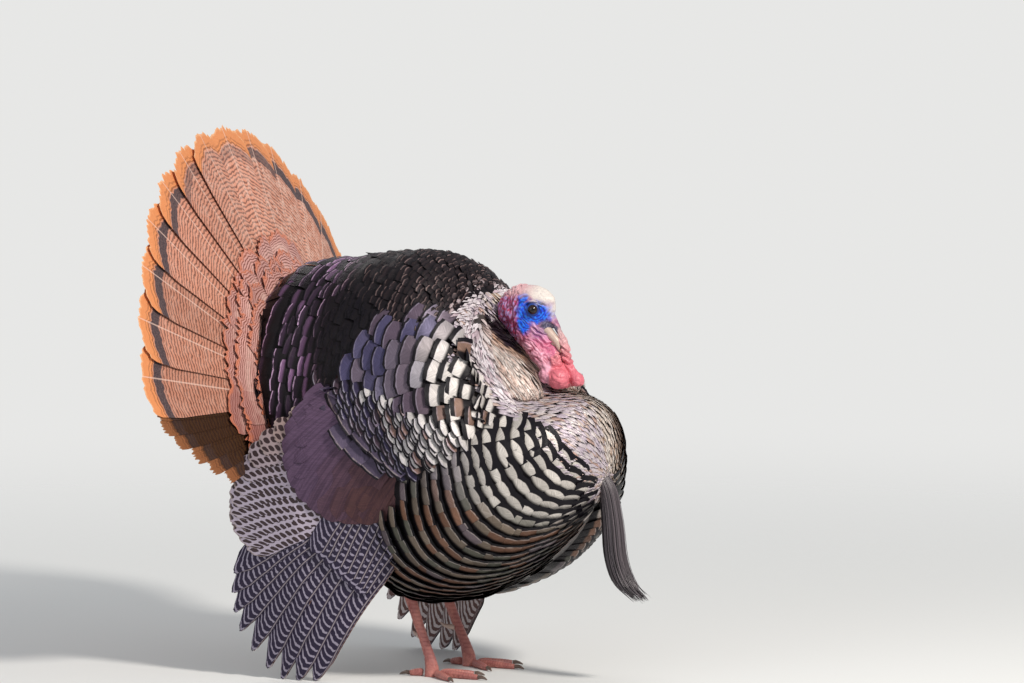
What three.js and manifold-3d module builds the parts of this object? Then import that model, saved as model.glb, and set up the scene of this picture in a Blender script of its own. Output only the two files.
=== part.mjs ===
// A life-size wild turkey tom in full strut: fan raised, wings drooped, head drawn in.
//
// Millimetres, +Z up. The bird faces -Y and its right side is -X. The origin is on the
// ground, in the bird's plane of symmetry. Every node is one closed faceted solid.

import * as THREE from "three";
import { mergeVertices } from "three/addons/utils/BufferGeometryUtils.js";
import Module from "manifold-3d";

const wasm = await Module();
wasm.setup();

// ---------------------------------------------------------------- driving dimensions

const GAP = 0.35; // clearance between pieces that meet

const BREAST_Y = -307; // foremost point of the breast
const BREAST_Z = 350; // and its height
const BACK_Z = 676; // top of the arched mantle
const BELLY_Z = 124; // lowest point of the belly
const TRUNK_HALF = 213; // half width of the puffed trunk

const FAN_APEX = [0, 201, 420]; // where the quills of the tail would meet
const FAN_RADIUS = 480; // apex to the tip of the longest tail feather
const FAN_ROOT = 70; // apex to the start of the quills
const FAN_TILT = 12; // degrees the fan leans back
const FAN_CUP = 13.5; // degrees each quill leans back from the fan's plane
const FAN_TURN = 8.5; // degrees the fan is turned about the vertical
const FAN_HALF = 104; // degrees from the top quill to the lowest edge
const FAN_THICK = 3.2;
const TAIL_FEATHERS = 18;
const COVERT_RADIUS = 292; // reach of the upper tail coverts over the fan

const WING_THICK = 3.4; // thickness of the flight feathers' sheets
const WING_CLEAR = 3; // room between the wing and the flank
const PRIMARIES = 10;
const SECONDARIES = 9;

const HEAD_TOP = 633;
const THROAT_Z = 546; // where the head meets the bare neck
const HEAD_HALF = 29; // half width of the head at the eyes
const EYE_RADIUS = 8.5;
const EYE_PLACE = [25.5, -186, 598.5];

const FLOOR = 10; // the ground, in the heights used below
const LEG_X = 70; // legs off the plane of symmetry
const HOCK_Z = 158;
const TARSUS_RADIUS = 8.2;

// The middle of the bird's box, which becomes the origin.
const MIDDLE = [-20, 30.5];

// ---------------------------------------------------------------- geometry helpers

const rad = THREE.MathUtils.degToRad;
const mix = THREE.MathUtils.lerp;
const vec = (x, y, z) => new THREE.Vector3(x, y, z);

// A smooth curve through [at, value, value ...] rows, read at one place.
function reading(rows, at) {
  const last = rows.length - 1;
  if (at <= rows[0][0]) return rows[0].slice(1);
  if (at >= rows[last][0]) return rows[last].slice(1);
  let i = 0;
  while (at > rows[i + 1][0]) i++;
  const a = rows[Math.max(i - 1, 0)];
  const b = rows[i];
  const c = rows[i + 1];
  const d = rows[Math.min(i + 2, last)];
  const span = c[0] - b[0];
  const t = (at - b[0]) / span;
  const values = [];
  for (let k = 1; k < b.length; k++) {
    const into = a === b ? c[k] - b[k] : ((c[k] - a[k]) / (c[0] - a[0])) * span;
    const out = c === d ? c[k] - b[k] : ((d[k] - b[k]) / (d[0] - b[0])) * span;
    const rise = c[k] - b[k];
    values.push(b[k] + t * (into + t * (3 * rise - 2 * into - out + t * (into + out - 2 * rise))));
  }
  return values;
}

// A closed mesh from points and triangles, turned so that its faces point out.
function closed(points, faces) {
  let volume = 0;
  for (const [a, b, c] of faces) {
    volume += points[a].dot(points[b].clone().cross(points[c]));
  }
  const index = volume < 0 ? faces.map(([a, b, c]) => [a, c, b]) : faces;
  const geometry = new THREE.BufferGeometry().setFromPoints(points);
  geometry.setIndex(index.flat());
  return geometry;
}

// A skin over a row of rings with equally many points, each end closed to its middle, or
// to the points given.
function loft(rings, firstMiddle, lastMiddle) {
  const count = rings[0].length;
  const points = rings.flat();
  const faces = [];
  for (let r = 0; r + 1 < rings.length; r++) {
    for (let i = 0; i < count; i++) {
      const j = (i + 1) % count;
      const a = r * count;
      const b = a + count;
      faces.push([a + i, a + j, b + j], [a + i, b + j, b + i]);
    }
  }
  const mean = (ring) => ring.reduce((sum, p) => sum.add(p), vec(0, 0, 0)).divideScalar(count);
  for (const [centre, start, way] of [
    [firstMiddle ?? mean(rings[0]), 0, -1],
    [lastMiddle ?? mean(rings.at(-1)), (rings.length - 1) * count, 1],
  ]) {
    const middle = points.length;
    points.push(centre);
    for (let i = 0; i < count; i++) {
      const j = (i + 1) % count;
      faces.push(way > 0 ? [start + i, start + j, middle] : [start + j, start + i, middle]);
    }
  }
  return closed(points, faces);
}

// A plate between two grids of points, outer[i][j] and inner[i][j], closed at its edges.
function plate(outer, inner) {
  const across = outer.length;
  const along = outer[0].length;
  const points = [...outer.flat(), ...inner.flat()];
  const under = across * along;
  const at = (i, j) => i * along + j;
  const faces = [];
  const quad = (a, b, c, d) => faces.push([a, b, c], [a, c, d]);
  for (let i = 0; i + 1 < across; i++) {
    for (let j = 0; j + 1 < along; j++) {
      quad(at(i, j), at(i + 1, j), at(i + 1, j + 1), at(i, j + 1));
      quad(under + at(i, j), under + at(i, j + 1), under + at(i + 1, j + 1), under + at(i + 1, j));
    }
  }
  for (let i = 0; i + 1 < across; i++) {
    const end = along - 1;
    quad(at(i, 0), under + at(i, 0), under + at(i + 1, 0), at(i + 1, 0));
    quad(at(i, end), at(i + 1, end), under + at(i + 1, end), under + at(i, end));
  }
  for (let j = 0; j + 1 < along; j++) {
    const side = across - 1;
    quad(at(0, j), at(0, j + 1), under + at(0, j + 1), under + at(0, j));
    quad(at(side, j), under + at(side, j), under + at(side, j + 1), at(side, j + 1));
  }
  return closed(points, faces);
}

// A tube of oval rings along a smooth curve. sizes: rows of [0..1, half width, half depth].
function limb(path, sizes, steps, sides, floor = -Infinity) {
  const curve = new THREE.CatmullRomCurve3(path.map((p) => vec(...p)));
  const rings = [];
  for (let s = 0; s <= steps; s++) {
    const t = s / steps;
    const centre = curve.getPointAt(t);
    const ahead = curve.getTangentAt(t);
    const side = Math.abs(ahead.x) > 0.95 ? vec(0, 1, 0) : vec(1, 0, 0);
    side.addScaledVector(ahead, -side.dot(ahead)).normalize();
    const up = ahead.clone().cross(side);
    const [wide, deep] = reading(sizes, t);
    const ring = [];
    for (let i = 0; i < sides; i++) {
      const turn = ((i + 0.5) / sides) * 2 * Math.PI;
      const point = centre.clone();
      point.addScaledVector(side, wide * Math.cos(turn));
      point.addScaledVector(up, deep * Math.sin(turn));
      point.z = Math.max(point.z, floor);
      ring.push(point);
    }
    rings.push(ring);
  }
  return loft(rings);
}

// A ball stretched along the three axes.
function ball(centre, radii, around = 12, high = 8) {
  const geometry = new THREE.SphereGeometry(1, around, high);
  return geometry.scale(...radii).translate(...centre);
}

const mirrored = (geometry) => {
  const copy = geometry.clone().scale(-1, 1, 1);
  const index = copy.index.array;
  for (let i = 0; i < index.length; i += 3) [index[i + 1], index[i + 2]] = [index[i + 2], index[i + 1]];
  return copy;
};

function merged(geometry) {
  const bare = new THREE.BufferGeometry();
  bare.setAttribute("position", geometry.getAttribute("position"));
  if (geometry.index) bare.setIndex(geometry.index);
  return mergeVertices(bare, 1e-3);
}

function solid(geometry) {
  const shape = merged(geometry);
  return new wasm.Manifold(
    new wasm.Mesh({
      numProp: 3,
      vertProperties: shape.attributes.position.array,
      triVerts: new Uint32Array(shape.index.array),
    }),
  );
}

// The largest body of a solid, as a geometry.
function geometryOf(manifold) {
  const bodies = manifold.decompose();
  const mesh = bodies.reduce((a, b) => (b.volume() > a.volume() ? b : a)).getMesh();
  const geometry = new THREE.BufferGeometry();
  geometry.setAttribute("position", new THREE.BufferAttribute(mesh.vertProperties, 3));
  geometry.setIndex(new THREE.BufferAttribute(mesh.triVerts, 1));
  return geometry;
}

// The same shape, grown by a little along its normals.
function grown(geometry, by = GAP) {
  const shape = merged(geometry);
  shape.computeVertexNormals();
  const place = shape.attributes.position;
  const normal = shape.attributes.normal;
  for (let i = 0; i < place.count; i++) {
    const move = [normal.getX(i) * by, normal.getY(i) * by, normal.getZ(i) * by];
    place.setXYZ(i, place.getX(i) + move[0], place.getY(i) + move[1], place.getZ(i) + move[2]);
  }
  return shape;
}

// A piece less its neighbours, with a clearance all round them.
function less(geometry, neighbours) {
  let shape = solid(geometry);
  for (const neighbour of neighbours) shape = shape.subtract(solid(grown(neighbour)));
  return shape;
}

const fitted = (geometry, ...neighbours) => geometryOf(less(geometry, neighbours));

const joined = (...geometries) => geometryOf(geometries.map(solid).reduce((a, b) => a.add(b)));

// ---------------------------------------------------------------- tail

const TURN = new THREE.Matrix4().makeRotationZ(rad(FAN_TURN));
const FAN_UP = vec(0, Math.sin(rad(FAN_TILT)), Math.cos(rad(FAN_TILT))).transformDirection(TURN);
const FAN_SIDE = vec(-1, 0, 0).transformDirection(TURN);
const FAN_BACK = FAN_SIDE.clone().cross(FAN_UP);

// A point of the fan: angle in degrees from the top quill toward the bird's right, distance
// from the apex along the quill, and how far behind the quill's front.
function onFan(angle, reach, behind = 0) {
  const out = FAN_UP.clone().multiplyScalar(Math.cos(rad(angle)));
  out.addScaledVector(FAN_SIDE, Math.sin(rad(angle)));
  const quill = out.clone().multiplyScalar(Math.cos(rad(FAN_CUP)));
  quill.addScaledVector(FAN_BACK, Math.sin(rad(FAN_CUP)));
  const across = FAN_BACK.clone().multiplyScalar(Math.cos(rad(FAN_CUP)));
  across.addScaledVector(out, -Math.sin(rad(FAN_CUP)));
  return vec(...FAN_APEX).addScaledVector(quill, reach).addScaledVector(across, behind);
}

// Reach of the tail's edge: round tips with notches between, the lowest feathers shorter.
function tailReach(angle) {
  const share = (angle + FAN_HALF) / (2 * FAN_HALF);
  const notch = 18 * Math.cos(Math.PI * share * TAIL_FEATHERS) ** 2;
  const low = Math.min(1, Math.max(0, (Math.abs(angle) - 80) / 24));
  return FAN_RADIUS * (1 - 0.3 * low) - notch;
}

function tailFan() {
  const outer = [];
  const inner = [];
  const columns = 2 * TAIL_FEATHERS;
  for (let i = 0; i <= columns; i++) {
    const angle = mix(-FAN_HALF, FAN_HALF, i / columns);
    const reach = tailReach(angle);
    outer.push([onFan(angle, FAN_ROOT), onFan(angle, reach)]);
    inner.push([onFan(angle, FAN_ROOT, FAN_THICK), onFan(angle, reach, FAN_THICK * 0.6)]);
  }
  return plate(outer, inner);
}

// Where the raised rump meets the front of the fan, as a reach from the apex: far out at
// the top, close in at the vent.
function rumpReach(angle) {
  const vent = Math.max(0, -Math.cos(rad(angle)));
  return 150 + 48 * Math.cos(rad(angle / 2)) ** 1.5 - 45 * vent;
}

// Upper tail coverts: a low collar of feathers lying on the front of the fan.
function tailCoverts() {
  const outer = [];
  const inner = [];
  const half = FAN_HALF - 7;
  const columns = 24;
  for (let i = 0; i <= columns; i++) {
    const angle = mix(-half, half, i / columns);
    const lap = 12 * Math.cos((Math.PI * i) / 2) ** 2;
    const start = rumpReach(angle) + 3 * GAP;
    const reach = COVERT_RADIUS - lap - 60 * (Math.abs(angle) / half) ** 3;
    const stops = [start, mix(start, reach, 0.45), reach];
    const thick = [20, 11, 4];
    outer.push(stops.map((stop, k) => onFan(angle, stop, -thick[k])));
    inner.push(stops.map((stop) => onFan(angle, stop, -4 * GAP)));
  }
  return plate(outer, inner);
}

// Under tail coverts: a soft mound behind the fan, flush with it, from the vent upward.
function underTail() {
  const around = 24;
  const profile = [
    [0, 1],
    [16, 1],
    [34, 0.9],
    [50, 0.68],
    [58, 0.36],
  ];
  const rings = profile.map(([deep, share]) => {
    const ring = [];
    for (let i = 0; i < around; i++) {
      const angle = (i / around) * 360 - 180;
      const reach = share * (142 + 34 * Math.cos(rad(angle)));
      const clear = Math.abs(angle) < FAN_HALF + 4 ? FAN_THICK + 3 * GAP : 2 * GAP;
      ring.push(onFan(angle, reach, clear + deep));
    }
    return ring;
  });
  return loft(rings, onFan(0, 8, FAN_THICK + 3 * GAP));
}

// ---------------------------------------------------------------- trunk and neck

// Along the body: y, top, bottom, half width, height of the widest place.
const TRUNK = [
  [BREAST_Y, BREAST_Z + 2, BREAST_Z - 2, 2, BREAST_Z],
  [-301, 398, 312, 52, 352],
  [-290, 434, 286, 82, 354],
  [-270, 456, 252, 120, 356],
  [-240, 464, 219, 153, 357],
  [-200, 474, 184, 184, 358],
  [-150, 524, 155, 205, 359],
  [-100, 606, 136, TRUNK_HALF, 359],
  [-50, 657, 127, TRUNK_HALF, 360],
  [8, BACK_Z, BELLY_Z, 209, 362],
  [38, 674, 142, 204, 368],
  [72, 670, 190, 198, 380],
  [112, 665, 228, 190, 396],
  [160, 654, 262, 180, 412],
];
const ROUND_BELOW = 0.76; // squareness of the underside: 1 is an ellipse
const TRUNK_SIDES = 36;
const TRUNK_END = 150; // where the trunk starts to turn into the raised rump
const RUMP_SWELL = 22; // how far the rump's feathers stand out before the fan

function trunkRing(y) {
  const [top, bottom, half, wide] = reading(TRUNK, y);
  const ring = [];
  for (let i = 0; i < TRUNK_SIDES; i++) {
    const turn = ((i + 0.5) / TRUNK_SIDES) * 2 * Math.PI;
    const c = Math.cos(turn);
    const s = Math.sin(turn);
    const power = s > 0 ? 1 : ROUND_BELOW;
    const x = half * Math.sign(c) * Math.abs(c) ** power;
    const z = wide + (s > 0 ? top - wide : wide - bottom) * Math.sign(s) * Math.abs(s) ** power;
    ring.push(vec(x, y, z));
  }
  return ring;
}

// Half width of the trunk at a place along it and a height.
function trunkHalf(y, z) {
  const [top, bottom, half, wide] = reading(TRUNK, y);
  const power = z > wide ? 1 : ROUND_BELOW;
  const share = (z > wide ? (z - wide) / (top - wide) : (wide - z) / (wide - bottom)) ** (1 / power);
  return share >= 1 ? 0 : half * Math.sqrt(1 - share * share) ** power;
}

function trunkBody() {
  const rings = [];
  const front = 9;
  for (let i = 0; i <= front; i++) {
    const share = 1 - Math.cos((i / front) * Math.PI * 0.5);
    rings.push(trunkRing(mix(BREAST_Y, -200, share)));
  }
  for (const y of [-170, -140, -110, -82, -48, -8, 30, 62, 94, 122]) rings.push(trunkRing(y));
  const last = trunkRing(TRUNK_END);
  const angles = last.map((_, i) => {
    const angle = ((i + 0.5) / TRUNK_SIDES) * 360 - 90;
    return angle > 180 ? angle - 360 : angle;
  });
  const rim = angles.map((angle) => onFan(angle, rumpReach(angle), -2 * GAP));
  const middle = vec(...FAN_APEX);
  for (const t of [0, 0.3, 0.6, 0.84]) {
    rings.push(
      last.map((p, i) => {
        const out = rim[i].clone().sub(middle).normalize();
        const swell = RUMP_SWELL * Math.cos(rad(angles[i] / 2)) ** 2 * Math.sin(Math.PI * t ** 1.3);
        return p.clone().lerp(rim[i], t).addScaledVector(out, swell);
      }),
    );
  }
  rings.push(rim);
  return loft(rings, undefined, onFan(0, 0, -2 * GAP));
}

// Ruff of the feathered neck: a soft collar round the back and sides of the head, parted in
// front and sunk in the trunk behind, so that a lobe stands at each side of the head.
// Down its axis: place, half width, front, back, depth of the parting.
const NECK_TOP = [0, -48, 592];
const NECK_END = [0, -196, 418];
const NECK = [
  [0, 40, 26, 40, 0],
  [0.1, 88, 46, 50, 8],
  [0.3, 108, 66, 50, 44],
  [0.5, 114, 74, 50, 58],
  [0.7, 110, 76, 50, 62],
  [0.88, 94, 68, 44, 54],
  [0.97, 72, 50, 34, 34],
  [1, 50, 30, 24, 14],
];
const PARTING_HALF = 40;

function neckCollar() {
  const start = vec(...NECK_TOP);
  const along = vec(...NECK_END).sub(start);
  const length = along.length();
  along.normalize();
  const front = vec(1, 0, 0).cross(along).negate();
  const rings = [];
  for (const place of [0, 0.08, 0.2, 0.34, 0.48, 0.62, 0.76, 0.88, 0.96, 1]) {
    const [half, ahead, behind, parting] = reading(NECK, place);
    const ring = [];
    const around = 24;
    for (let i = 0; i < around; i++) {
      const turn = (i / around) * 2 * Math.PI;
      const x = half * Math.sin(turn);
      const c = Math.cos(turn);
      let out = c > 0 ? ahead * c ** 0.85 : behind * c;
      if (c > 0) out -= parting * Math.exp(-((x / PARTING_HALF) ** 4));
      const point = start.clone().addScaledVector(along, place * length).addScaledVector(front, out);
      ring.push(point.add(vec(x, 0, 0)));
    }
    rings.push(ring);
  }
  return loft(rings);
}

// ---------------------------------------------------------------- head

// Up the head: height, back, front, half width, share of the width kept at the front.
const HEAD = [
  [474, -214, -236, 14, 0.9],
  [482, -200, -240, 24, 0.9],
  [500, -176, -238, 27, 0.85],
  [520, -152, -222, 28, 0.7],
  [540, -130, -206, 28, 0.64],
  [560, -114, -206, HEAD_HALF, 0.62],
  [580, -107, -212, 31, 0.62],
  [600, -109, -214, HEAD_HALF, 0.66],
  [616, -120, -206, 25, 0.7],
  [627, -134, -192, 17, 0.8],
  [HEAD_TOP, -152, -174, 6, 1],
];

function headRing(z, around) {
  const [back, front, half, nose] = reading(HEAD, z);
  const ring = [];
  for (let i = 0; i < around; i++) {
    const turn = (i / around) * 2 * Math.PI;
    const toFront = Math.cos(turn);
    const keep = mix(1, nose, Math.max(0, toFront) ** 1.5);
    const y = mix(back, front, 0.5 + 0.5 * toFront);
    ring.push(vec(half * keep * Math.sin(turn), y, z));
  }
  return ring;
}

const HEAD_LEVELS = [THROAT_Z, 560, 574, 588, 601, 613, 623, 630, HEAD_TOP];
const NECK_LEVELS = [474, 482, 494, 508, 526, THROAT_Z - GAP];
const headPiece = (levels) => loft(levels.map((z) => headRing(z, 20)));

// Red lobes at the foot of the throat.
function throatLobes() {
  return joined(ball([-15, -221, 489], [20, 25, 18], 10, 7), ball([15, -221, 490], [19, 24, 18], 10, 7));
}

// Fleshy finger that hangs from the forehead over the bill.
function snood() {
  const path = [
    [0, -207, 596],
    [2, -218, 580],
    [4, -228, 560],
    [5, -237, 538],
    [5, -243, 515],
    [5, -254, 499],
    [5, -265, 484],
    [5, -267, 472],
  ];
  const sizes = [
    [0, 9, 7],
    [0.35, 7, 6],
    [0.68, 7, 6],
    [0.8, 10, 9],
    [0.93, 10, 10],
    [1, 4, 4],
  ];
  return limb(path, sizes, 11, 8);
}

// The bill's halves: curved cones from the face to a blunt tip.
const upperBill = () =>
  limb(
    [[0, -193, 573], [0, -208, 562], [0, -219, 548], [0, -223, 533]],
    [[0, 11, 8], [0.45, 9, 7], [0.8, 5.2, 4.6], [1, 1.6, 1.6]],
    6,
    8,
  );

const lowerBill = () =>
  limb(
    [[0, -188, 558], [0, -202, 546], [0, -212, 536]],
    [[0, 9.5, 5], [0.6, 7, 4], [1, 2.4, 1.8]],
    4,
    8,
  );

// ---------------------------------------------------------------- beard, legs and feet

function beard() {
  const path = [
    [2, -290, 352],
    [3, -306, 318],
    [4, -315, 268],
    [4, -321, 212],
    [4, -337, 172],
    [4, -366, 148],
  ];
  const sizes = [
    [0, 7, 7],
    [0.15, 11, 10],
    [0.5, 15, 13],
    [0.8, 13, 11],
    [1, 3, 3],
  ];
  return limb(path, sizes, 9, 10);
}

// Each leg leans forward to its foot. side: -1 right, 1 left.
const FOOT_Y = { right: -28, left: -12 };
const HOCK_Y = { right: 20, left: 46 };
const ANKLE_Z = FLOOR + 12;
const PAD_RADIUS = 14.5; // the pad that the toes grow from

function shank(side, name) {
  const x = side * LEG_X;
  const path = [
    [x + side * 2, HOCK_Y[name], HOCK_Z],
    [x, mix(HOCK_Y[name], FOOT_Y[name], 0.5), mix(HOCK_Z, ANKLE_Z, 0.5)],
    [x, mix(HOCK_Y[name], FOOT_Y[name], 0.97), mix(HOCK_Z, ANKLE_Z, 0.94)],
    [x, FOOT_Y[name], FLOOR - 1.5],
  ];
  const sizes = [
    [0, 11.5, 12.5],
    [0.15, 8.6, 10],
    [0.55, TARSUS_RADIUS * 0.86, TARSUS_RADIUS],
    [0.86, 9, 10],
    [0.95, PAD_RADIUS, PAD_RADIUS],
    [1, PAD_RADIUS - 2, PAD_RADIUS - 2],
  ];
  return limb(path, sizes, 9, 10, FLOOR);
}

// Feathered lower thigh, from inside the flank down to the hock.
function thigh(side, name) {
  const x = side * (LEG_X + 4);
  const path = [
    [x + side * 12, HOCK_Y[name] + 56, 262],
    [x + side * 4, HOCK_Y[name] + 36, 212],
    [x, HOCK_Y[name] + 4, HOCK_Z + 2],
  ];
  const sizes = [
    [0, 44, 56],
    [0.5, 34, 42],
    [0.9, 19, 22],
    [1, 14, 15],
  ];
  return limb(path, sizes, 5, 12);
}

// A spur on the inner back of each leg.
function spur(side, name) {
  const share = 0.64;
  const y = mix(HOCK_Y[name], FOOT_Y[name], share);
  const z = mix(HOCK_Z, ANKLE_Z, share);
  const x = side * LEG_X;
  const path = [[x - side * 4, y + 4, z], [x - side * 10, y + 16, z + 1], [x - side * 13, y + 25, z + 7]];
  return limb(path, [[0, 5, 5], [0.5, 3.6, 3.6], [1, 0.9, 0.9]], 3, 6);
}

// Toes: name, degrees from straight ahead, length.
const TOES = [
  ["inner", -34, 66],
  ["middle", 0, 84],
  ["outer", 36, 68],
  ["hind", 170, 38],
];
const TOE_RADIUS = 6.2;
const CLAW_LENGTH = 17;

// A place along a toe: its reach from the leg's axis and its height above the ground.
function toePoint(side, name, angle, reach, high) {
  const turn = rad(angle);
  const x = side * (LEG_X + Math.sin(turn) * reach);
  return [x, FOOT_Y[name] - Math.cos(turn) * reach, FLOOR + high];
}

function toe(side, name, angle, length) {
  const root = PAD_RADIUS + 3 * GAP;
  const at = (share, high) => toePoint(side, name, angle, mix(root, length, share), high);
  const path = [at(0, 6), at(0.3, 6.4), at(0.6, 5.4), at(1, 4.4)];
  const sizes = [
    [0, 4.2, 6],
    [0.28, TOE_RADIUS, TOE_RADIUS + 0.8],
    [0.48, TOE_RADIUS - 1, TOE_RADIUS - 0.4],
    [0.66, TOE_RADIUS, TOE_RADIUS],
    [1, 3.8, 4.4],
  ];
  return limb(path, sizes, 5, 8, FLOOR);
}

function claw(side, name, angle, length) {
  const at = (reach, high) => toePoint(side, name, angle, length + reach, high);
  const path = [at(2 * GAP, 4.6), at(CLAW_LENGTH * 0.45, 5.2), at(CLAW_LENGTH, 1.6)];
  return limb(path, [[0, 2.9, 3.4], [0.5, 2.4, 2.8], [1, 0.7, 0.9]], 3, 6, FLOOR + 0.4);
}

// ---------------------------------------------------------------- wings

// How far the wing's outer face stands off the plane of symmetry at a place (y, z): widest
// at its rear, drawn in to the shoulder, over the back and toward the ground.
function wingOut(y, z) {
  const forward = Math.max(0, (120 - y) / 300) ** 0.85;
  const over = Math.max(0, (z - 340) / 235) ** 2;
  const under = Math.max(0, (340 - z) / 340);
  const tucked = Math.max(0, (60 - y) / 100) * Math.min(1, Math.max(0, (300 - z) / 80));
  const free = 250 - 60 * forward - 96 * over - 14 * under - 26 * tucked;
  return Math.max(free, trunkHalf(Math.min(y, TRUNK_END), z) + WING_CLEAR + WING_THICK);
}

// A point of the wing at a depth under its outer face, outside the trunk.
function wingPoint(y, z, depth = 0) {
  const clear = trunkHalf(Math.min(y, TRUNK_END), z) + WING_CLEAR;
  return vec(-Math.max(wingOut(y, z) - depth, clear), y, z);
}

const sideLine = (points) => new THREE.CatmullRomCurve3(points.map(([y, z]) => vec(0, y, z)));

// A sheet of flight feathers between a root line and a tip line, with a notch between tips.
// Tips that would reach lower stop at the ground, where they drag.
function flightSheet(roots, tips, count, notch, depth, rows) {
  const rootLine = sideLine(roots);
  const tipLine = sideLine(tips);
  const outer = [];
  const inner = [];
  const columns = 2 * count;
  for (let i = 0; i <= columns; i++) {
    const root = rootLine.getPoint(i / columns);
    const tip = tipLine.getPoint(i / columns);
    const cut = i % 2 === 0 ? notch / root.distanceTo(tip) : 0;
    const end = root.clone().lerp(tip, 1 - cut);
    const line = [];
    const back = [];
    for (let j = 0; j <= rows; j++) {
      const p = root.clone().lerp(end, j / rows);
      const z = Math.max(p.z, FLOOR);
      line.push(wingPoint(p.y, z, depth));
      back.push(wingPoint(p.y, z, depth + WING_THICK));
    }
    outer.push(line);
    inner.push(back);
  }
  return plate(outer, inner);
}

const PRIMARY_ROOTS = [[118, 262], [76, 262], [26, 256], [-32, 205]];
const PRIMARY_TIPS = [[236, 192], [243, 134], [230, 80], [186, 28], [138, 4], [88, 8]];
const SECONDARY_ROOTS = [[104, 424], [104, 366], [70, 304], [38, 278]];
const SECONDARY_TIPS = [[132, 436], [200, 368], [238, 300], [238, 250], [204, 208]];

const primaries = () => flightSheet(PRIMARY_ROOTS, PRIMARY_TIPS, PRIMARIES, 14, 12, 3);
const secondaries = () => flightSheet(SECONDARY_ROOTS, SECONDARY_TIPS, SECONDARIES, 9, 5, 2);

// Shoulder and wing coverts: a pad over the roots of the flight feathers, thin at its rim.
const COVERT_TOP = [[-172, 462], [-120, 556], [-20, 606], [62, 530], [112, 436]];
const COVERT_LOW = [[-172, 430], [-110, 370], [-48, 318], [30, 264], [124, 352]];

function wingCoverts() {
  const topLine = sideLine(COVERT_TOP);
  const lowLine = sideLine(COVERT_LOW);
  const outer = [];
  const inner = [];
  const across = 12;
  const along = 6;
  for (let i = 0; i <= across; i++) {
    const a = topLine.getPoint(i / across);
    const b = lowLine.getPoint(i / across);
    const line = [];
    const back = [];
    for (let j = 0; j <= along; j++) {
      const p = a.clone().lerp(b, j / along);
      const inside = j > 0 && j < along - 1 && i > 0 && i < across - 2;
      line.push(wingPoint(p.y, p.z));
      back.push(wingPoint(p.y, p.z, inside ? 26 : WING_THICK + 0.6));
    }
    outer.push(line);
    inner.push(back);
  }
  return plate(outer, inner);
}

// ---------------------------------------------------------------- the bird

const PAINT = {
  plumage: { color: 0x4a3a33, roughness: 0.55, metalness: 0.15 },
  pale: { color: 0x9a8a7c, roughness: 0.6, metalness: 0.1 },
  rump: { color: 0x2c2026, roughness: 0.5, metalness: 0.15 },
  tail: { color: 0xa8623c, roughness: 0.65, metalness: 0 },
  covert: { color: 0xb3623f, roughness: 0.65, metalness: 0 },
  barred: { color: 0x4a4654, roughness: 0.65, metalness: 0 },
  lattice: { color: 0x8d8393, roughness: 0.65, metalness: 0 },
  bronze: { color: 0x6b5662, roughness: 0.5, metalness: 0.15 },
  skin: { color: 0xb8496a, roughness: 0.5, metalness: 0 },
  red: { color: 0xd8344a, roughness: 0.45, metalness: 0 },
  horn: { color: 0xc9a98c, roughness: 0.4, metalness: 0 },
  eye: { color: 0x2a1712, roughness: 0.1, metalness: 0 },
  beard: { color: 0x3a3238, roughness: 0.6, metalness: 0 },
  leg: { color: 0xc4685c, roughness: 0.55, metalness: 0 },
  claw: { color: 0x6b5548, roughness: 0.45, metalness: 0 },
};

const bird = new THREE.Group();

function add(name, geometry, paint) {
  const material = new THREE.MeshStandardMaterial(PAINT[paint]);
  const mesh = new THREE.Mesh(geometry, material);
  mesh.name = name;
  bird.add(mesh);
}

const trunk = trunkBody();
const eyes = { left: ball(EYE_PLACE, [EYE_RADIUS, EYE_RADIUS, EYE_RADIUS], 10, 7) };
eyes.right = mirrored(eyes.left);
const head = fitted(headPiece(HEAD_LEVELS), trunk, eyes.left, eyes.right);
const neck = fitted(headPiece(NECK_LEVELS), trunk);
const throat = fitted(throatLobes(), neck, trunk);
const lowerHorn = fitted(lowerBill(), head, neck, throat);
const upperHorn = fitted(upperBill(), lowerHorn, head, neck, throat);

add("trunk", trunk, "plumage");
for (const [side, name] of [[-1, "right"], [1, "left"]]) {
  const otherHalf = new THREE.BoxGeometry(800, 1200, 1200).translate(-side * 400, 0, 400);
  add(`ruff_${name}`, fitted(neckCollar(), otherHalf, trunk, head, neck, throat), "pale");
}
add("head", head, "skin");
add("neck", neck, "skin");
add("throat_lobes", throat, "red");
add("snood", fitted(snood(), upperHorn, head, neck, throat, trunk), "red");
add("bill_upper", upperHorn, "horn");
add("bill_lower", lowerHorn, "horn");
add("eye_left", eyes.left, "eye");
add("eye_right", eyes.right, "eye");
add("beard", fitted(beard(), trunk), "beard");
add("tail_fan", tailFan(), "tail");
add("tail_coverts", fitted(tailCoverts(), trunk), "covert");
add("undertail", underTail(), "rump");

const WING_PIECES = [
  ["coverts", wingCoverts(), "bronze"],
  ["secondaries", secondaries(), "lattice"],
  ["primaries", primaries(), "barred"],
];
for (const [piece, geometry, paint] of WING_PIECES) {
  add(`wing_${piece}_right`, fitted(geometry, trunk), paint);
  add(`wing_${piece}_left`, fitted(mirrored(geometry), trunk), paint);
}

for (const [side, name] of [[-1, "right"], [1, "left"]]) {
  const upper = fitted(thigh(side, name), trunk);
  const lower = fitted(shank(side, name), trunk, upper);
  add(`thigh_${name}`, upper, "plumage");
  add(`shank_${name}`, lower, "leg");
  add(`spur_${name}`, fitted(spur(side, name), lower), "claw");
  for (const [toeName, angle, length] of TOES) {
    add(`toe_${toeName}_${name}`, toe(side, name, angle, length), "leg");
    add(`claw_${toeName}_${name}`, claw(side, name, angle, length), "claw");
  }
}

bird.position.set(-MIDDLE[0], -MIDDLE[1], -FLOOR);

export default bird;
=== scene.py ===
"""Wild turkey tom in full strut: skin, eyes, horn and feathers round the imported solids."""

import math
from types import SimpleNamespace

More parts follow.
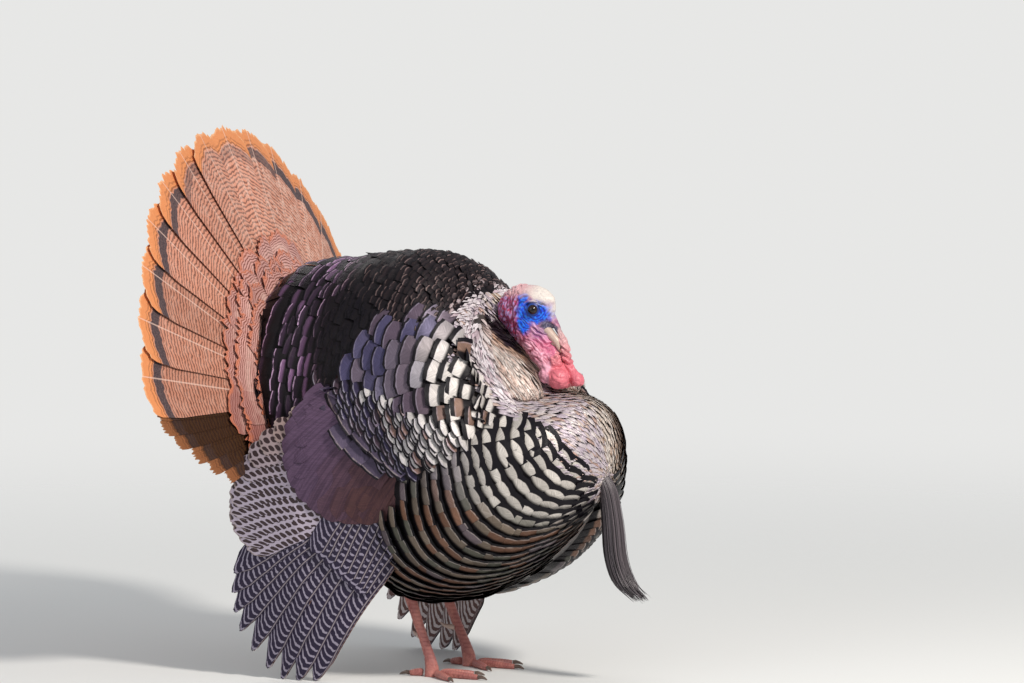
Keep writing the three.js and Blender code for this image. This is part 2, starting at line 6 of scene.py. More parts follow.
import bpy
import numpy as np
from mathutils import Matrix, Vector, noise
from mathutils.bvhtree import BVHTree


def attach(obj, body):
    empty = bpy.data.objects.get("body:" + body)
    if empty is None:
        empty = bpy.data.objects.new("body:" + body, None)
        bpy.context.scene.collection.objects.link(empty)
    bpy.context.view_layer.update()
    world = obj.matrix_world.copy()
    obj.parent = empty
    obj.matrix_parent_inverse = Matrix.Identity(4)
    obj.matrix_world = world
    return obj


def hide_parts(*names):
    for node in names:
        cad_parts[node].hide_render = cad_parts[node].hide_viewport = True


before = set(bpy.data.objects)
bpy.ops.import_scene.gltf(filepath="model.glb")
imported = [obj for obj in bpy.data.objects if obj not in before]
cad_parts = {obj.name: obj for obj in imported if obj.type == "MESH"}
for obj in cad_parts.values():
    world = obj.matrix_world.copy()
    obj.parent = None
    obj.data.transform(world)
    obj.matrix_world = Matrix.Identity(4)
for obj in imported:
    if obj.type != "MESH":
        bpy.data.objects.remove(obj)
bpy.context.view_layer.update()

# Shapes are worked out in the bird's own millimetres: it faces -Y, its right side is -X,
# its plane of symmetry is x = 0 and the ground is z = GROUND. The frame's origin lies at
# ORIGIN in them. Feathers are laid on the right side and mirrored.
MM = 0.001
GROUND = 10.0
ORIGIN = np.array([-20.0, 30.5, GROUND])
SIDES = {"right": -1, "left": 1}
FULL_TURN = 2 * math.pi


def metres(points):
    return (np.asarray(points, float) - ORIGIN) * MM


def unit(vectors):
    vectors = np.asarray(vectors, float)
    return vectors / np.maximum(np.linalg.norm(vectors, axis=-1, keepdims=True), 1e-9)


def smooth(low, high, value):
    """0 under low, 1 over high, smooth between; low may be the larger."""
    share = np.clip((np.asarray(value, float) - low) / (high - low), 0, 1)
    return share * share * (3 - 2 * share)


def mix(a, b, share):
    a, b = np.asarray(a, float), np.asarray(b, float)
    return a + (b - a) * share


def blend(a, b, share):
    """Colours or vectors between a and b, one for each share."""
    return mix(a, b, np.reshape(share, (-1, 1)))


# ---------------------------------------------------------------- shaders


def operator(operation, turned=False):
    """A method that adds a math node for two values, in turned order if wanted."""
    def apply(self, other):
        pair = (other, self) if turned else (self, other)
        return self.nodes.math(operation, *pair)
    return apply


class Value:
    """A socket whose arithmetic adds math nodes to its tree."""

    def __init__(self, nodes, socket):
        self.nodes, self.socket = nodes, socket

    def __abs__(self):
        return self.nodes.math("ABSOLUTE", self)

    __add__ = __radd__ = operator("ADD")
    __mul__ = __rmul__ = operator("MULTIPLY")
    __sub__, __rsub__ = operator("SUBTRACT"), operator("SUBTRACT", True)
    __truediv__, __pow__ = operator("DIVIDE"), operator("POWER")


class Nodes:
    """A node tree built by short calls."""

    def __init__(self, tree):
        self.tree = tree
        tree.nodes.clear()

    def add(self, kind, inputs=None, **settings):
        node = self.tree.nodes.new("ShaderNode" + kind)
        for key, value in settings.items():
            setattr(node, key, value)
        for key, value in (inputs or {}).items():
            socket = node.inputs[key]
            if isinstance(value, Value):
                self.tree.links.new(value.socket, socket)
            elif socket.type == "RGBA" and len(value) == 3:
                socket.default_value = (*value, 1)
            else:
                socket.default_value = value
        return node

    def get(self, kind, inputs=None, output=0, **settings):
        return Value(self, self.add(kind, inputs, **settings).outputs[output])

    def math(self, operation, *values):
        return self.get("Math", dict(enumerate(values)), operation=operation)

    def values(self, *names):
        return [self.get("Attribute", output="Fac", attribute_name=name) for name in names]

    def colour(self, name):
        return self.get("Attribute", output="Color", attribute_name=name)

    def position(self):
        return self.get("TexCoord", output="Object")

    def mix(self, share, a, b):
        return self.get("Mix", {0: share, 6: a, 7: b}, 2, data_type="RGBA")

    def vector(self, x, y, z):
        return self.get("CombineXYZ", {0: x, 1: y, 2: z})

    def noise(self, vector, scale=1.0, detail=2.0, roughness=0.5):
        inputs = {"Vector": vector, "Scale": scale, "Detail": detail, "Roughness": roughness}
        return self.get("TexNoise", inputs, "Fac")

    def step(self, value, low, high, most=1.0):
        """A smooth step of a value between low and high: 0 to most."""
        inputs = {"Value": value, "From Min": low, "From Max": high, "To Max": most}
        return self.get("MapRange", inputs, "Result", interpolation_type="SMOOTHSTEP")

    def bump(self, height, strength, distance):
        return self.get("Bump", {"Height": height, "Strength": strength, "Distance": distance}, "Normal")


class Shader(Nodes):
    """A material."""

    def __init__(self, name):
        self.material = bpy.data.materials.new(name)
        self.material.use_nodes = True
        super().__init__(self.material.node_tree)

    def finish(self, base, roughness, normal=None, specular=0.5, metallic=0.0):
        inputs = {"Base Color": base, "Roughness": roughness, "Specular IOR Level": specular,
                  "Metallic": metallic}
        if normal is not None:
            inputs["Normal"] = normal
        self.add("OutputMaterial", {"Surface": self.get("BsdfPrincipled", inputs)})
        return self.material


class Vane(Shader):
    """A feather's material, with streaks along the barbs that leave the shaft toward the tip."""

    def __init__(self, name, fine=0.9):
        super().__init__(name)
        self.tip, self.across, self.rim, self.seed = self.values("tip", "across", "rim", "seed")
        self.tint, self.out = self.colour("tint"), abs(self.across)
        along = self.vector((self.tip + self.out) * fine, self.across * 0.07, self.seed * 57.0)
        self.streak = self.noise(along, 1.0, 3.0, 0.6)

    def streaked(self, share, other):
        """The tint, with a share of another colour along the barbs."""
        return self.mix(self.streak, self.tint, self.mix(share, self.tint, other))

    def patches(self, across, tip, seed, detail=3.0, scale=1.0):
        """Noise over the vane, 0 to 1, coarser for smaller factors, other for each feather."""
        place = self.vector(self.across * across, self.tip * tip, self.seed * seed)
        return self.noise(place, scale, detail)

    def waves(self, value, period, wander, amount):
        """Wavy bars: 0 to 1 with the given period in millimetres."""
        turn = (value + (wander - 0.5) * amount) * (FULL_TURN / period)
        return self.math("SINE", turn) * 0.5 + 0.5

    def vane(self, base, roughness, shaft=0.0, strength=0.4, distance=0.0012):
        normal = self.bump(self.streak + shaft, strength, distance)
        return self.finish(base, roughness, normal, specular=0.25)


def body_feather():
    """Iridescent vane in its own tint with a black border; before the border a thin pale line, a painted
    highlight on most rows; painted shade toward its root.
    """
    s = Vane("body_feather", 1.1)
    lens, band, deep, bars, glint, gloss = s.values("lens", "band", "deep", "bars", "glint", "gloss")
    wander = s.patches(0.22, 1.0, 91.0, scale=0.5)
    half = s.out / (s.out + s.rim + 0.01)
    cut = half * half * s.math("MAXIMUM", lens, 0.0) * 1.9
    over = s.tip + (wander - 0.5) * 2.0 - band - cut
    side = s.rim - lens * 0.45
    black = s.math("MAXIMUM", s.step(over, 0.7, -0.5), s.step(side, 0.5, -0.5))
    lines = s.step(s.patches(0.32, 0.014, 1.0), 0.38, 0.62) * (bars - 1.0)
    tint = s.mix(lines, s.tint, s.mix(0.5, s.tint, (0.02, 0.01, 0.03)))
    base = s.mix(s.step(s.streak, 0.2, 0.75), tint, s.mix(0.47, tint, (0.015, 0.011, 0.015)))
    base = s.mix(s.step(s.streak, 0.55, 0.8) * 0.3, base, s.mix(0.08, tint, (0.7, 0.64, 0.6)))
    # A thin pale line just inside the black border, as strong as glint: a painted highlight on the rows of
    # the back, breast and wing.
    line = s.step(over, 0.0, 0.7) * s.step(over, 2.8, 1.4) * s.step(wander, 0.36, 0.56)
    base = s.mix(line * glint, base, s.colour("shine"))
    # Painted shade: the vane darkens from `deep` millimetres behind its tip to its root, where the row above
    # would shade it.
    base = s.mix(s.step(s.tip + cut - deep, 0.0, 6.0), base, (0.009, 0.007, 0.009))
    base = s.mix(black, base, (0.0075, 0.006, 0.009))
    normal = s.bump(s.streak, 0.35, 0.0012)
    return s.finish(base, s.streak * 0.22 + 0.32, normal, 0.15, (1.0 - black) * gloss)


def tail_feather():
    """Rectrix: orange end, dark band, then chestnut with wavy bars and a painted whitish sheen, round a pale
    shaft.
    """
    s = Vane("tail_feather", 0.8)
    bars, band, glint, gloss = s.values("bars", "band", "glint", "gloss")
    wander = s.patches(0.09, 0.05, 43.0)
    fine = s.patches(0.4, 0.4, 43.0, 2.0)
    bent = s.tip - s.out * 0.14
    wavy = s.step(s.waves(bent, 7.6, wander, 13.0) + fine * 0.8, 0.86, 1.2)
    chestnut = s.streaked(0.35, (0.2, 0.06, 0.025))
    base = s.mix(wavy * bars, chestnut, s.mix(0.72, s.tint, (0.03, 0.008, 0.006)))
    # Painted sheen: whitish streaks over the vane, stronger on some feathers than others.
    painted_sheen = s.step(wander, 0.35, 0.7) * s.step(s.streak, 0.3, 0.7)
    base = s.mix(painted_sheen * gloss, base, (0.86, 0.58, 0.48))
    ragged = bent + (wander - 0.5) * 12.0
    dark = s.mix(s.step(fine, 0.35, 0.7), (0.045, 0.034, 0.042), (0.11, 0.08, 0.085))
    base = s.mix(s.step(ragged, 27.0, 31.0) * s.step(ragged, 53.0, 48.0) * band, base, dark)
    buff = s.mix(s.streak, (0.86, 0.36, 0.15), (0.64, 0.2, 0.07))
    speckle = wavy * s.step(ragged, 11.0, 22.0) * 0.7
    base = s.mix(s.step(ragged, 29.0, 25.0) * glint, base, s.mix(speckle, buff, (0.2, 0.07, 0.035)))
    lip = s.step(s.tip, 6.0, 1.0) * glint * s.step(s.streak, 0.35, 0.7)
    base = s.mix(lip, base, (0.95, 0.62, 0.36))
    shaft = s.step(s.out, 1.7, 0.9)
    base = s.mix(shaft * s.step(glint, 0.4, 1.0) * 0.5, base, (0.9, 0.62, 0.52))
    return s.vane(base, 0.48, shaft * 1.5, 0.45, 0.0015)


def barred_feather():
    """Primary: dark vane crossed by pale bars that bend to its base, round a pale shaft."""
    s = Vane("barred_feather")
    bars, band = s.values("bars", "band")
    wander = s.patches(0.16, 0.06, 37.0, 2.0)
    bow = s.tip - s.out * s.out * 0.026
    wide = s.waves(bow, 11.5, wander, 7.0) + band
    barred = s.step(wide + s.streak * 0.3, 0.86, 1.02)
    barred = barred * (s.step(s.rim, 0.3, 2.5) * 0.6 + 0.4) * s.step(s.out, 1.4, 3.0)
    dark = s.streaked(0.5, (0.02, 0.014, 0.025))
    base = s.mix(barred * bars, dark, s.mix(s.streak, s.colour("shine"), (0.33, 0.29, 0.34)))
    shaft = s.step(s.out, 1.2, 0.6)
    return s.vane(s.mix(shaft * 0.75, base, (0.36, 0.3, 0.32)), 0.47, shaft)


def lattice_feather():
    """Secondary: pale vane with dark brown lozenges in rows, browner near the rump."""
    s = Vane("lattice_feather")
    wander = s.patches(0.2, 0.1, 3.0, 2.0)
    along = s.waves(s.tip + s.across * 0.55, 12.5, wander, 3.0)
    crossed = s.waves(s.across, 13.5, wander, 2.5)
    spots = s.step(along**0.7 * crossed**0.7 + s.streak * 0.2, 0.3, 0.42)
    base = s.mix(spots, s.streaked(0.4, (0.3, 0.24, 0.3)), (0.05, 0.031, 0.034))
    return s.vane(s.mix(s.step(s.tip, 4.0, 1.0) * 0.6, base, (0.4, 0.32, 0.3)), 0.5)


def covert_feather():
    """Upper tail covert: rosy with fine bars, a rufous end and a painted whitish sheen."""
    s = Vane("covert_feather")
    bars, gloss = s.values("bars", "gloss")
    wander = s.patches(0.06, 0.05, 31.0)
    bent = s.tip - s.out * 0.12
    wavy = s.step(s.waves(bent, 5.2, wander, 8.0) + s.streak * 0.5, 0.7, 1.0)
    body = s.mix(wavy * bars, s.streaked(0.4, (0.3, 0.1, 0.07)), (0.2, 0.06, 0.04))
    # Painted sheen: whitish highlights in patches over the vane's middle.
    sheen = s.step(wander, 0.3, 0.75) * gloss * s.step(s.tip, 16.0, 34.0)
    body = s.mix(sheen * (s.streak + 0.25), body, (0.86, 0.58, 0.5))
    rufous = s.mix(s.streak, (0.8, 0.27, 0.14), (0.52, 0.13, 0.06))
    end = s.step(bent + wander * 30.0, 25.0, 13.0)
    return s.vane(s.mix(end * 0.75, body, rufous), 0.45)


def grained(name, scale, dark, pale, roughness):
    """Horn or claw: two tones in a coarse grain."""
    s = Shader(name)
    return s.finish(s.mix(s.noise(s.position(), scale), dark, pale), roughness)


def bristle():
    s = Shader("bristle")
    return s.finish(s.colour("tint"), 0.38)


def bare_skin():
    s = Shader("bare_skin")
    paint = s.colour("paint")
    blotch = s.step(s.noise(s.position(), 260.0), 0.3, 0.75, 0.35)
    base = s.mix(blotch, paint, s.mix(0.45, paint, (0.02, 0.01, 0.02)))
    return s.finish(base, 0.42, s.bump(s.noise(s.position(), 900.0, 3.0), 0.25, 0.0006))


def eye_gloss():
    """Dark brown iris round a black pupil; turn is the angle from the eye's axis."""
    s = Shader("eye")
    turn, spoke = s.values("turn", "spoke")
    grain = s.noise(s.vector(spoke, turn * 0.4, 0.0), 9.0)
    iris = s.mix(grain, (0.012, 0.005, 0.004), (0.03, 0.012, 0.008))
    base = s.mix(s.step(turn, 0.36, 0.4), (0.003, 0.002, 0.002), iris)
    return s.finish(s.mix(s.step(turn, 0.84, 0.92), base, (0.01, 0.006, 0.006)), 0.14)


def floor_paint():
    """Pale floor that fades into the plain backdrop away from the bird."""
    s = Shader("floor")
    surface = s.get("BsdfPrincipled", {"Base Color": PALE, "Roughness": 0.95})
    away = s.get("VectorMath", {0: s.position()}, "Value", operation="LENGTH")
    clear = s.get("BsdfTransparent")
    faded = s.get("MixShader", {0: s.step(away, 0.9, 3.2), 1: surface, 2: clear})
    s.add("OutputMaterial", {"Surface": faded})
    return s.material


# ---------------------------------------------------------------- places on the solids


class Surface:
    """Triangles in the bird's millimetres, with smooth normals and places found on them."""

    def __init__(self, points, faces):
        self.points, self.faces = points, faces
        self.normals = normals_of(points, faces)
        self.tree = BVHTree.FromPolygons(points.tolist(), faces.tolist())

    @classmethod
    def of(cls, *names):
        """The outside of some CAD nodes."""
        corners, faces, count = [], [], 0
        for name in names:
            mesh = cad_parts[name].data
            mesh.calc_loop_triangles()
            co = np.zeros(len(mesh.vertices) * 3, np.float32)
            mesh.vertices.foreach_get("co", co)
            tri = np.zeros(len(mesh.loop_triangles) * 3, np.int32)
            mesh.loop_triangles.foreach_get("vertices", tri)
            corners.append(co.reshape(-1, 3).astype(float) / MM + ORIGIN)
            faces.append(tri.reshape(-1, 3) + count)
            count += len(mesh.vertices)
        points = np.concatenate(corners)
        _, first, merged = np.unique(points.round(2), axis=0, return_index=True, return_inverse=True)
        return cls(points[first], merged.reshape(-1)[np.concatenate(faces)])

    def _smooth(self, places, index):
        """Normals at places on faces, from their corners' normals."""
        a, b, c = self.points[self.faces[index]].swapaxes(0, 1)
        whole = np.cross(b - a, c - a)
        area = np.maximum((whole * whole).sum(1), 1e-9)
        wb = (np.cross(places - a, c - a) * whole).sum(1) / area
        wc = (np.cross(b - a, places - a) * whole).sum(1) / area
        weights = np.clip(np.stack([1 - wb - wc, wb, wc], 1), 0, 1)
        return unit((self.normals[self.faces[index]] * weights[:, :, None]).sum(1))

    def nearest(self, points):
        found = [self.tree.find_nearest(p) for p in np.asarray(points, float).tolist()]
        places = np.array([f[0] for f in found])
        return places, self._smooth(places, np.array([f[2] for f in found]))

    def hit(self, start, ways):
        """Where rays meet the surface, and which rays met it."""
        start = np.broadcast_to(start, ways.shape)
        found = [self.tree.ray_cast(a, b)[0] for a, b in zip(start.tolist(), ways.tolist())]
        return np.array([f or (0, 0, 0) for f in found]), np.array([f is not None for f in found])


def normals_of(points, faces):
    """Smooth normals at the points of triangles or quads."""
    corners = points[faces]
    if faces.shape[1] == 3:
        flat = np.cross(corners[:, 1] - corners[:, 0], corners[:, 2] - corners[:, 0])
    else:
        flat = np.cross(corners[:, 2] - corners[:, 0], corners[:, 3] - corners[:, 1])
    total = np.zeros_like(points)
    for column in faces.T:
        np.add.at(total, column, flat)
    return unit(total)


PROBE = 3  # millimetres
SINK = 1.6  # power: how soon a shaft comes up out of the surface


def tangent(ways, normals):
    return unit(ways - normals * (ways * normals).sum(-1, keepdims=True))


def lie(surface, roots, ways, lengths, depth=7.0, lift=1.0, steps=6):
    """Shafts that follow a surface from their roots: points and normals, (n, steps + 1, 3).
    They start `depth` under it and end `lift` over it. Each step is taken PROBE above it."""
    places, normals = surface.nearest(roots)
    ways = tangent(np.asarray(ways, float), normals)
    line, norms = [places], [normals]
    stride = np.broadcast_to(lengths, len(places))[:, None] / steps
    for _ in range(steps):
        places, normals = surface.nearest(places + ways * stride + normals * PROBE)
        ways = tangent(ways, normals)
        line.append(places)
        norms.append(normals)
    line, norms = np.stack(line, 1), np.stack(norms, 1)
    share = np.linspace(0, 1, steps + 1)[None, :, None]
    lift = np.broadcast_to(lift, len(line)).reshape(-1, 1, 1)
    return line + norms * (lift * share**2 - depth * (1 - share) ** SINK), norms


def read(line, share):
    """Points of many lines (n, r, 3) at shares (n, ...) of their length."""
    n, r, _ = line.shape
    at = np.clip(share.reshape(n, -1), 0, 1.25) * (r - 1)
    low = np.clip(at.astype(int), 0, r - 2)
    part = (at - low)[..., None]
    a = np.take_along_axis(line, low[..., None], 1)
    b = np.take_along_axis(line, low[..., None] + 1, 1)
    return (a + (b - a) * part).reshape(*share.shape, 3)


def curve(points, shares):
    """Places at shares of a smooth curve through points."""
    points = np.asarray(points, float)
    ends = np.concatenate([[2 * points[0] - points[1]], points, [2 * points[-1] - points[-2]]])
    at = np.clip(np.asarray(shares, float), 0, 1) * (len(points) - 1)
    k = np.minimum(at.astype(int), len(points) - 2)
    t = (at - k)[:, None]
    p0, p1, p2, p3 = (ends[k + i] for i in range(4))
    bend = (2 * p0 - 5 * p1 + 4 * p2 - p3) * t**2 + (3 * p1 - p0 - 3 * p2 + p3) * t**3
    return 0.5 * (2 * p1 + (p2 - p0) * t + bend)


def even(line, spacing, offset):
    """Places at an even spacing along a polyline."""
    steps = np.linalg.norm(np.diff(line, axis=0), axis=1)
    at = np.concatenate([[0], np.cumsum(steps)])
    marks = np.arange(offset * spacing, at[-1], spacing)
    return np.stack([np.interp(marks, at, line[:, k]) for k in range(3)], 1)


TRIES = 6  # places tried for each square of the spacing


def scatter(surface, spacing, keep, rng):
    """Places on a surface about `spacing` apart where keep(places) holds."""
    corners = surface.points[surface.faces]
    size = np.linalg.norm(np.cross(corners[:, 1] - corners[:, 0], corners[:, 2] - corners[:, 0]), axis=1) / 2
    count = int(size.sum() / spacing**2 * TRIES)
    pick = rng.choice(len(size), count, p=size / size.sum())
    a, b = rng.random((2, count, 1))
    over = a + b > 1
    a, b = np.where(over, 1 - a, a), np.where(over, 1 - b, b)
    spots = corners[pick, 0] * (1 - a - b) + corners[pick, 1] * a + corners[pick, 2] * b
    spots = spots[keep(spots)]
    steps = [(x, y, z) for x in (-1, 0, 1) for y in (-1, 0, 1) for z in (-1, 0, 1)]
    cells, kept = {}, []
    for i, (x, y, z) in enumerate(np.floor(spots / spacing).astype(int).tolist()):
        near = [j for dx, dy, dz in steps for j in cells.get((x + dx, y + dy, z + dz), ())]
        if not near or np.min(((spots[near] - spots[i]) ** 2).sum(1)) >= spacing**2:
            cells.setdefault((x, y, z), []).append(i)
            kept.append(i)
    return spots[kept]


def strands(spots, ways, along, across):
    """Of many places, those whose feathers lie far apart along their way and close beside it."""
    kept = []
    for i, way in enumerate(ways):
        gap = spots[kept] - spots[i]
        run = gap @ way
        side = (gap ** 2).sum(1) - run ** 2
        if not kept or (run**2 / along**2 + side / across**2).min() > 1:
            kept.append(i)
    return kept


def drift(points, scale, seed=0.0):
    """Slow wandering between -1 and 1."""
    return np.array([noise.noise(p) for p in (points / scale + seed).tolist()]) * 1.6


def billow(points, scale, seed=0.0):
    """Rounded lumps with sharp creases between them: about 0 to 1."""
    spots = (points / scale + seed).tolist()
    return np.clip(np.abs(np.array([noise.noise(p) for p in spots])) * 2.6, 0, 1)


# ---------------------------------------------------------------- pieces and coats


def make_mesh(name, points, faces, material=None, uv=None, **values):
    """A smooth mesh of triangles or quads, with named values at its points."""
    mesh = bpy.data.meshes.new(name)
    floats = lambda numbers: np.asarray(numbers, np.float32).reshape(-1)
    count, sides = faces.shape
    mesh.vertices.add(len(points))
    mesh.vertices.foreach_set("co", floats(points))
    mesh.loops.add(faces.size)
    mesh.loops.foreach_set("vertex_index", faces.reshape(-1).astype(np.int32))
    mesh.polygons.add(count)
    mesh.polygons.foreach_set("loop_start", np.arange(0, faces.size, sides, dtype=np.int32))
    mesh.polygons.foreach_set("loop_total", np.full(count, sides, np.int32))
    mesh.update(calc_edges=True)
    mesh.polygons.foreach_set("use_smooth", np.ones(count, bool))
    if uv is not None:
        mesh.uv_layers.new(name="OFBake").data.foreach_set("uv", floats(uv))
    for key, value in values.items():
        kind, field = ("FLOAT_VECTOR", "vector") if value.ndim == 2 else ("FLOAT", "value")
        mesh.attributes.new(key, kind, "POINT").data.foreach_set(field, floats(value))
    if material:
        mesh.materials.append(material)
    return mesh


def add_piece(name, mesh, slot, *nodes):
    """Puts a mesh in the scene as a piece of the bird."""
    piece = bpy.data.objects.new(name, mesh)
    bpy.context.scene.collection.objects.link(piece)
    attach(piece, "root")
    if nodes:
        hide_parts(*nodes)
    print(f"{name}: {len(mesh.loops) - 2 * len(mesh.polygons)} triangles")


UNWRAP_AXIS, UNWRAP_FRONT, UNWRAP_LENGTH = 370, -320, 620
UNWRAP_RIM = 0.02


def skin_unwrap(points):
    """The skin opened along the belly: round the body, and from breast to tail."""
    around = np.arctan2(points[:, 0], points[:, 2] - UNWRAP_AXIS) / FULL_TURN
    along = np.clip((points[:, 1] - UNWRAP_FRONT) / UNWRAP_LENGTH, 0, 1)
    size = 1 - 2 * UNWRAP_RIM
    return np.stack([0.5 + size * around, UNWRAP_RIM + size * along], 1)


def patch_grid(count, row, rows, rim=(0.002, 0.004)):
    """Boxes side by side in one row of the unwrap."""
    i = np.arange(count)
    low, high = 0 * i + row / rows + rim[1], 0 * i + (row + 1) / rows - rim[1]
    return np.stack([i / count + rim[0], low, (i + 1) / count - rim[0], high], 1)


def outline(*points):
    """A vane's outline: share of the full width at shares of the length."""
    shares, widths = zip(*points)
    return lambda s: np.interp(s, shares, widths)


BROAD = outline((0, 0.25), (0.2, 0.7), (0.45, 0.96), (0.8, 1), (1, 0.93))
OVAL = outline((0, 0.25), (0.2, 0.7), (0.45, 1), (0.7, 0.95), (0.9, 0.66), (1, 0.3))
SLAB = outline((0, 0.8), (0.15, 0.95), (0.7, 1), (1, 0.92))
QUILL = outline((0, 0.8), (0.15, 1), (0.6, 0.95), (0.85, 0.72), (1, 0.3))
RECTRIX = outline((0, 0.16), (0.3, 0.4), (0.8, 0.93), (0.95, 1), (1, 0.96))
BRISTLE = outline((0, 1), (0.7, 0.9), (1, 0.3))

# Shares of the length where vanes have vertices.
BODY_ROWS = (0, 0.3, 0.55, 0.72, 0.84, 0.93, 1)
BAND_ROW = 4  # the row of BODY_ROWS from which the end has its own patch on the unwrap
FINE_ROWS = (0, 0.35, 0.65, 0.85, 1)
THIGH_ROWS = (0, 0.4, 0.75, 1)
PATCH = 0.003  # size of a small feather's patch on the unwrap
PATCH_STEP = 1.2  # from a patch to its end's own patch, in patches
CLEAR = 0.3  # lowest part of a vane over the ground, in millimetres
LAST = 1.24  # a shaft is read up to here at most, as a share of its length

# What the feathers' materials read besides tip, across, rim and seed: lens is the width of
# the black border, deep is where the painted shade toward the root begins, shine is the
# colour of the thin pale line, a painted highlight on most rows. The value that weights the
# body feathers' metal sets the strength of the painted sheen on tail feathers and coverts.
LOOKS = {"band": 0.0, "bars": 1.0, "gloss": 0.3, "glint": 0.0, "lens": 0.5, "deep": 18.0,
         "tint": (0.3, 0.25, 0.22), "shine": (0.5, 0.42, 0.36)}


class Side:
    """A side of the bird: its random draws, and the flip that takes places there."""

    def __init__(self, seed, mirror=False):
        self.mirror = mirror
        self.rng = np.random.default_rng(seed + mirror)
        self.flip = np.array([-1 if mirror else 1, 1, 1])

    def either(self, n, chance, first, second):
        """n colours: the first by chance, else the second."""
        return np.where(self.rng.random((n, 1)) < chance, [first], [second])

    def shades(self, n, low, high):
        return self.rng.uniform(low, high, (n, 1))


def both(seed):
    return Side(seed), Side(seed, True)


def column(values):
    return np.asarray(values, float).reshape(-1, 1, 1)


class Coat:
    """Vanes gathered as arrays, then made into one mesh piece."""

    def __init__(self):
        self.places, self.quads, self.uvs, self.values, self.count = [], [], [], {}, 0

    def add(self, side, line, norms, width, profile, rows=BODY_ROWS, cols=7, round_tip=0.16,
            camber=0.12, roll=0.0, ragged=0.0, own_patch=None, shaft=0.0, **looks):
        """line, norms: (n, r, 3). shaft: its place across the vane. own_patch: boxes of
        their own on the unwrap, (n, 4), in place of a patch at the root's place."""
        n, r = len(line), len(rows)
        if n == 0:
            return
        u = np.linspace(-1, 1, cols)
        along = np.reshape(rows, (1, -1, 1)).astype(float)
        share = np.broadcast_to(along, (n, r, cols))
        length = column(np.linalg.norm(np.diff(line, axis=1), axis=2).sum(1))
        half = 0.5 * column(np.broadcast_to(width, n)) * profile(along)
        reach = share * (1 - column(round_tip) * np.abs(u) ** 2.2 * along**2)
        if ragged:
            comb = side.rng.normal(0, ragged, (n, 1, cols)) / length
            reach = reach + comb * np.clip((along - 0.75) / 0.25, 0, 1) ** 2
        normal = unit(read(norms, reach))
        ahead = unit(read(line, np.minimum(reach + 0.02, LAST)) - read(line, reach - 0.02))
        offset = u * half
        rise = column(roll) * offset - column(camber) * half * u**2
        beside = unit(np.cross(ahead, normal))
        places = read(line, reach) + beside * offset[..., None] + normal * rise[..., None]
        places[..., 2] = np.maximum(places[..., 2], GROUND + CLEAR)
        self.places.append((places * side.flip).reshape(-1, 3))
        measured = {"tip": length * (1 - share), "across": offset - shaft * half,
                    "rim": half * (1 - np.abs(u)), "seed": side.rng.random(n)}
        for name, value in {**LOOKS, **looks, **measured}.items():
            if name in ("tint", "shine"):
                value = np.broadcast_to(np.reshape(value, (-1, 1, 3)), (n, r * cols, 3)).reshape(-1, 3)
            else:
                value = value if np.ndim(value) == 3 else column(value)
                value = np.broadcast_to(value, share.shape).reshape(-1)
            self.values.setdefault(name, []).append(value)
        split = BAND_ROW if rows is BODY_ROWS else r - 1
        self._faces(n, r, cols, line[:, 0], split, own_patch, side)

    def _faces(self, n, r, c, roots, split, own_patch, side):
        i, j = (grid.reshape(-1, 1) for grid in np.indices((r - 1, c - 1)))
        quad = i * c + j + [0, 1, c + 1, c]
        across = (j + [0, 1, 1, 0]) / (c - 1)
        along = i + [0, 0, 1, 1]
        if own_patch is None:
            end = i >= split
            low, high = np.where(end, split, 0), np.where(end, r - 1, split)
            start = skin_unwrap(roots * side.flip)[:, None, None]
            uv_u = start[..., 0] + PATCH * (across + np.where(end, PATCH_STEP, 0))
            uv_v = start[..., 1] + PATCH * (along - low) / np.maximum(high - low, 1)
        else:
            box = own_patch[:, None, None]
            uv_u = mix(box[..., 0], box[..., 2], across)
            uv_v = mix(box[..., 1], box[..., 3], along / (r - 1))
        if side.mirror:
            quad, uv_u, uv_v = quad[:, ::-1], uv_u[..., ::-1], uv_v[..., ::-1]
        base = self.count + np.arange(n)[:, None, None] * (r * c)
        self.quads.append((base + quad).reshape(-1, 4))
        self.uvs.append(np.stack([uv_u, uv_v], -1).reshape(-1, 2))
        self.count += n * r * c

    def build(self, name, material, slot, *nodes):
        values = {key: np.concatenate(value) for key, value in self.values.items()}
        mesh = make_mesh(name, metres(np.concatenate(self.places)), np.concatenate(self.quads), material,
                         np.concatenate(self.uvs), **values)
        add_piece(name, mesh, slot, *nodes)


TRUNK = Surface.of("trunk")
RUFF = Surface.of("ruff_right")


# ---------------------------------------------------------------- tail

FAN_APEX = np.array([0, 201, 420.0])
FAN_RADIUS = 480
FAN_TILT, FAN_CUP, FAN_TURN = (math.radians(a) for a in (12, 13.5, 8.5))
FAN_HALF = 104  # degrees from the top
FAN_SPACING = 2 * FAN_HALF / 18  # 18 quills, of which the bright 14 are spaced so
BRIGHT_FEATHERS = 14
# Angles of the low quills, which are painted dark as shaded copies of the others.
LOW_ANGLES = np.array([81.5, 85, 88.5, 93, 97.5, 102])
FAN_THICK, FAN_CLEAR = 5, 3  # depth of the quills, and room for the feathers before them
COVERT_RINGS = ((15, 296, 160, 84), (17, 262, 125, 70), (18, 228, 100, 58))  # count, reach, length, width


def turned(x, y, z):
    c, s = math.cos(FAN_TURN), math.sin(FAN_TURN)
    return np.array([c * x - s * y, s * x + c * y, z])


FAN_UP = turned(0, math.sin(FAN_TILT), math.cos(FAN_TILT))
FAN_SIDE = turned(-1, 0, 0)
FAN_BACK = np.cross(FAN_SIDE, FAN_UP)


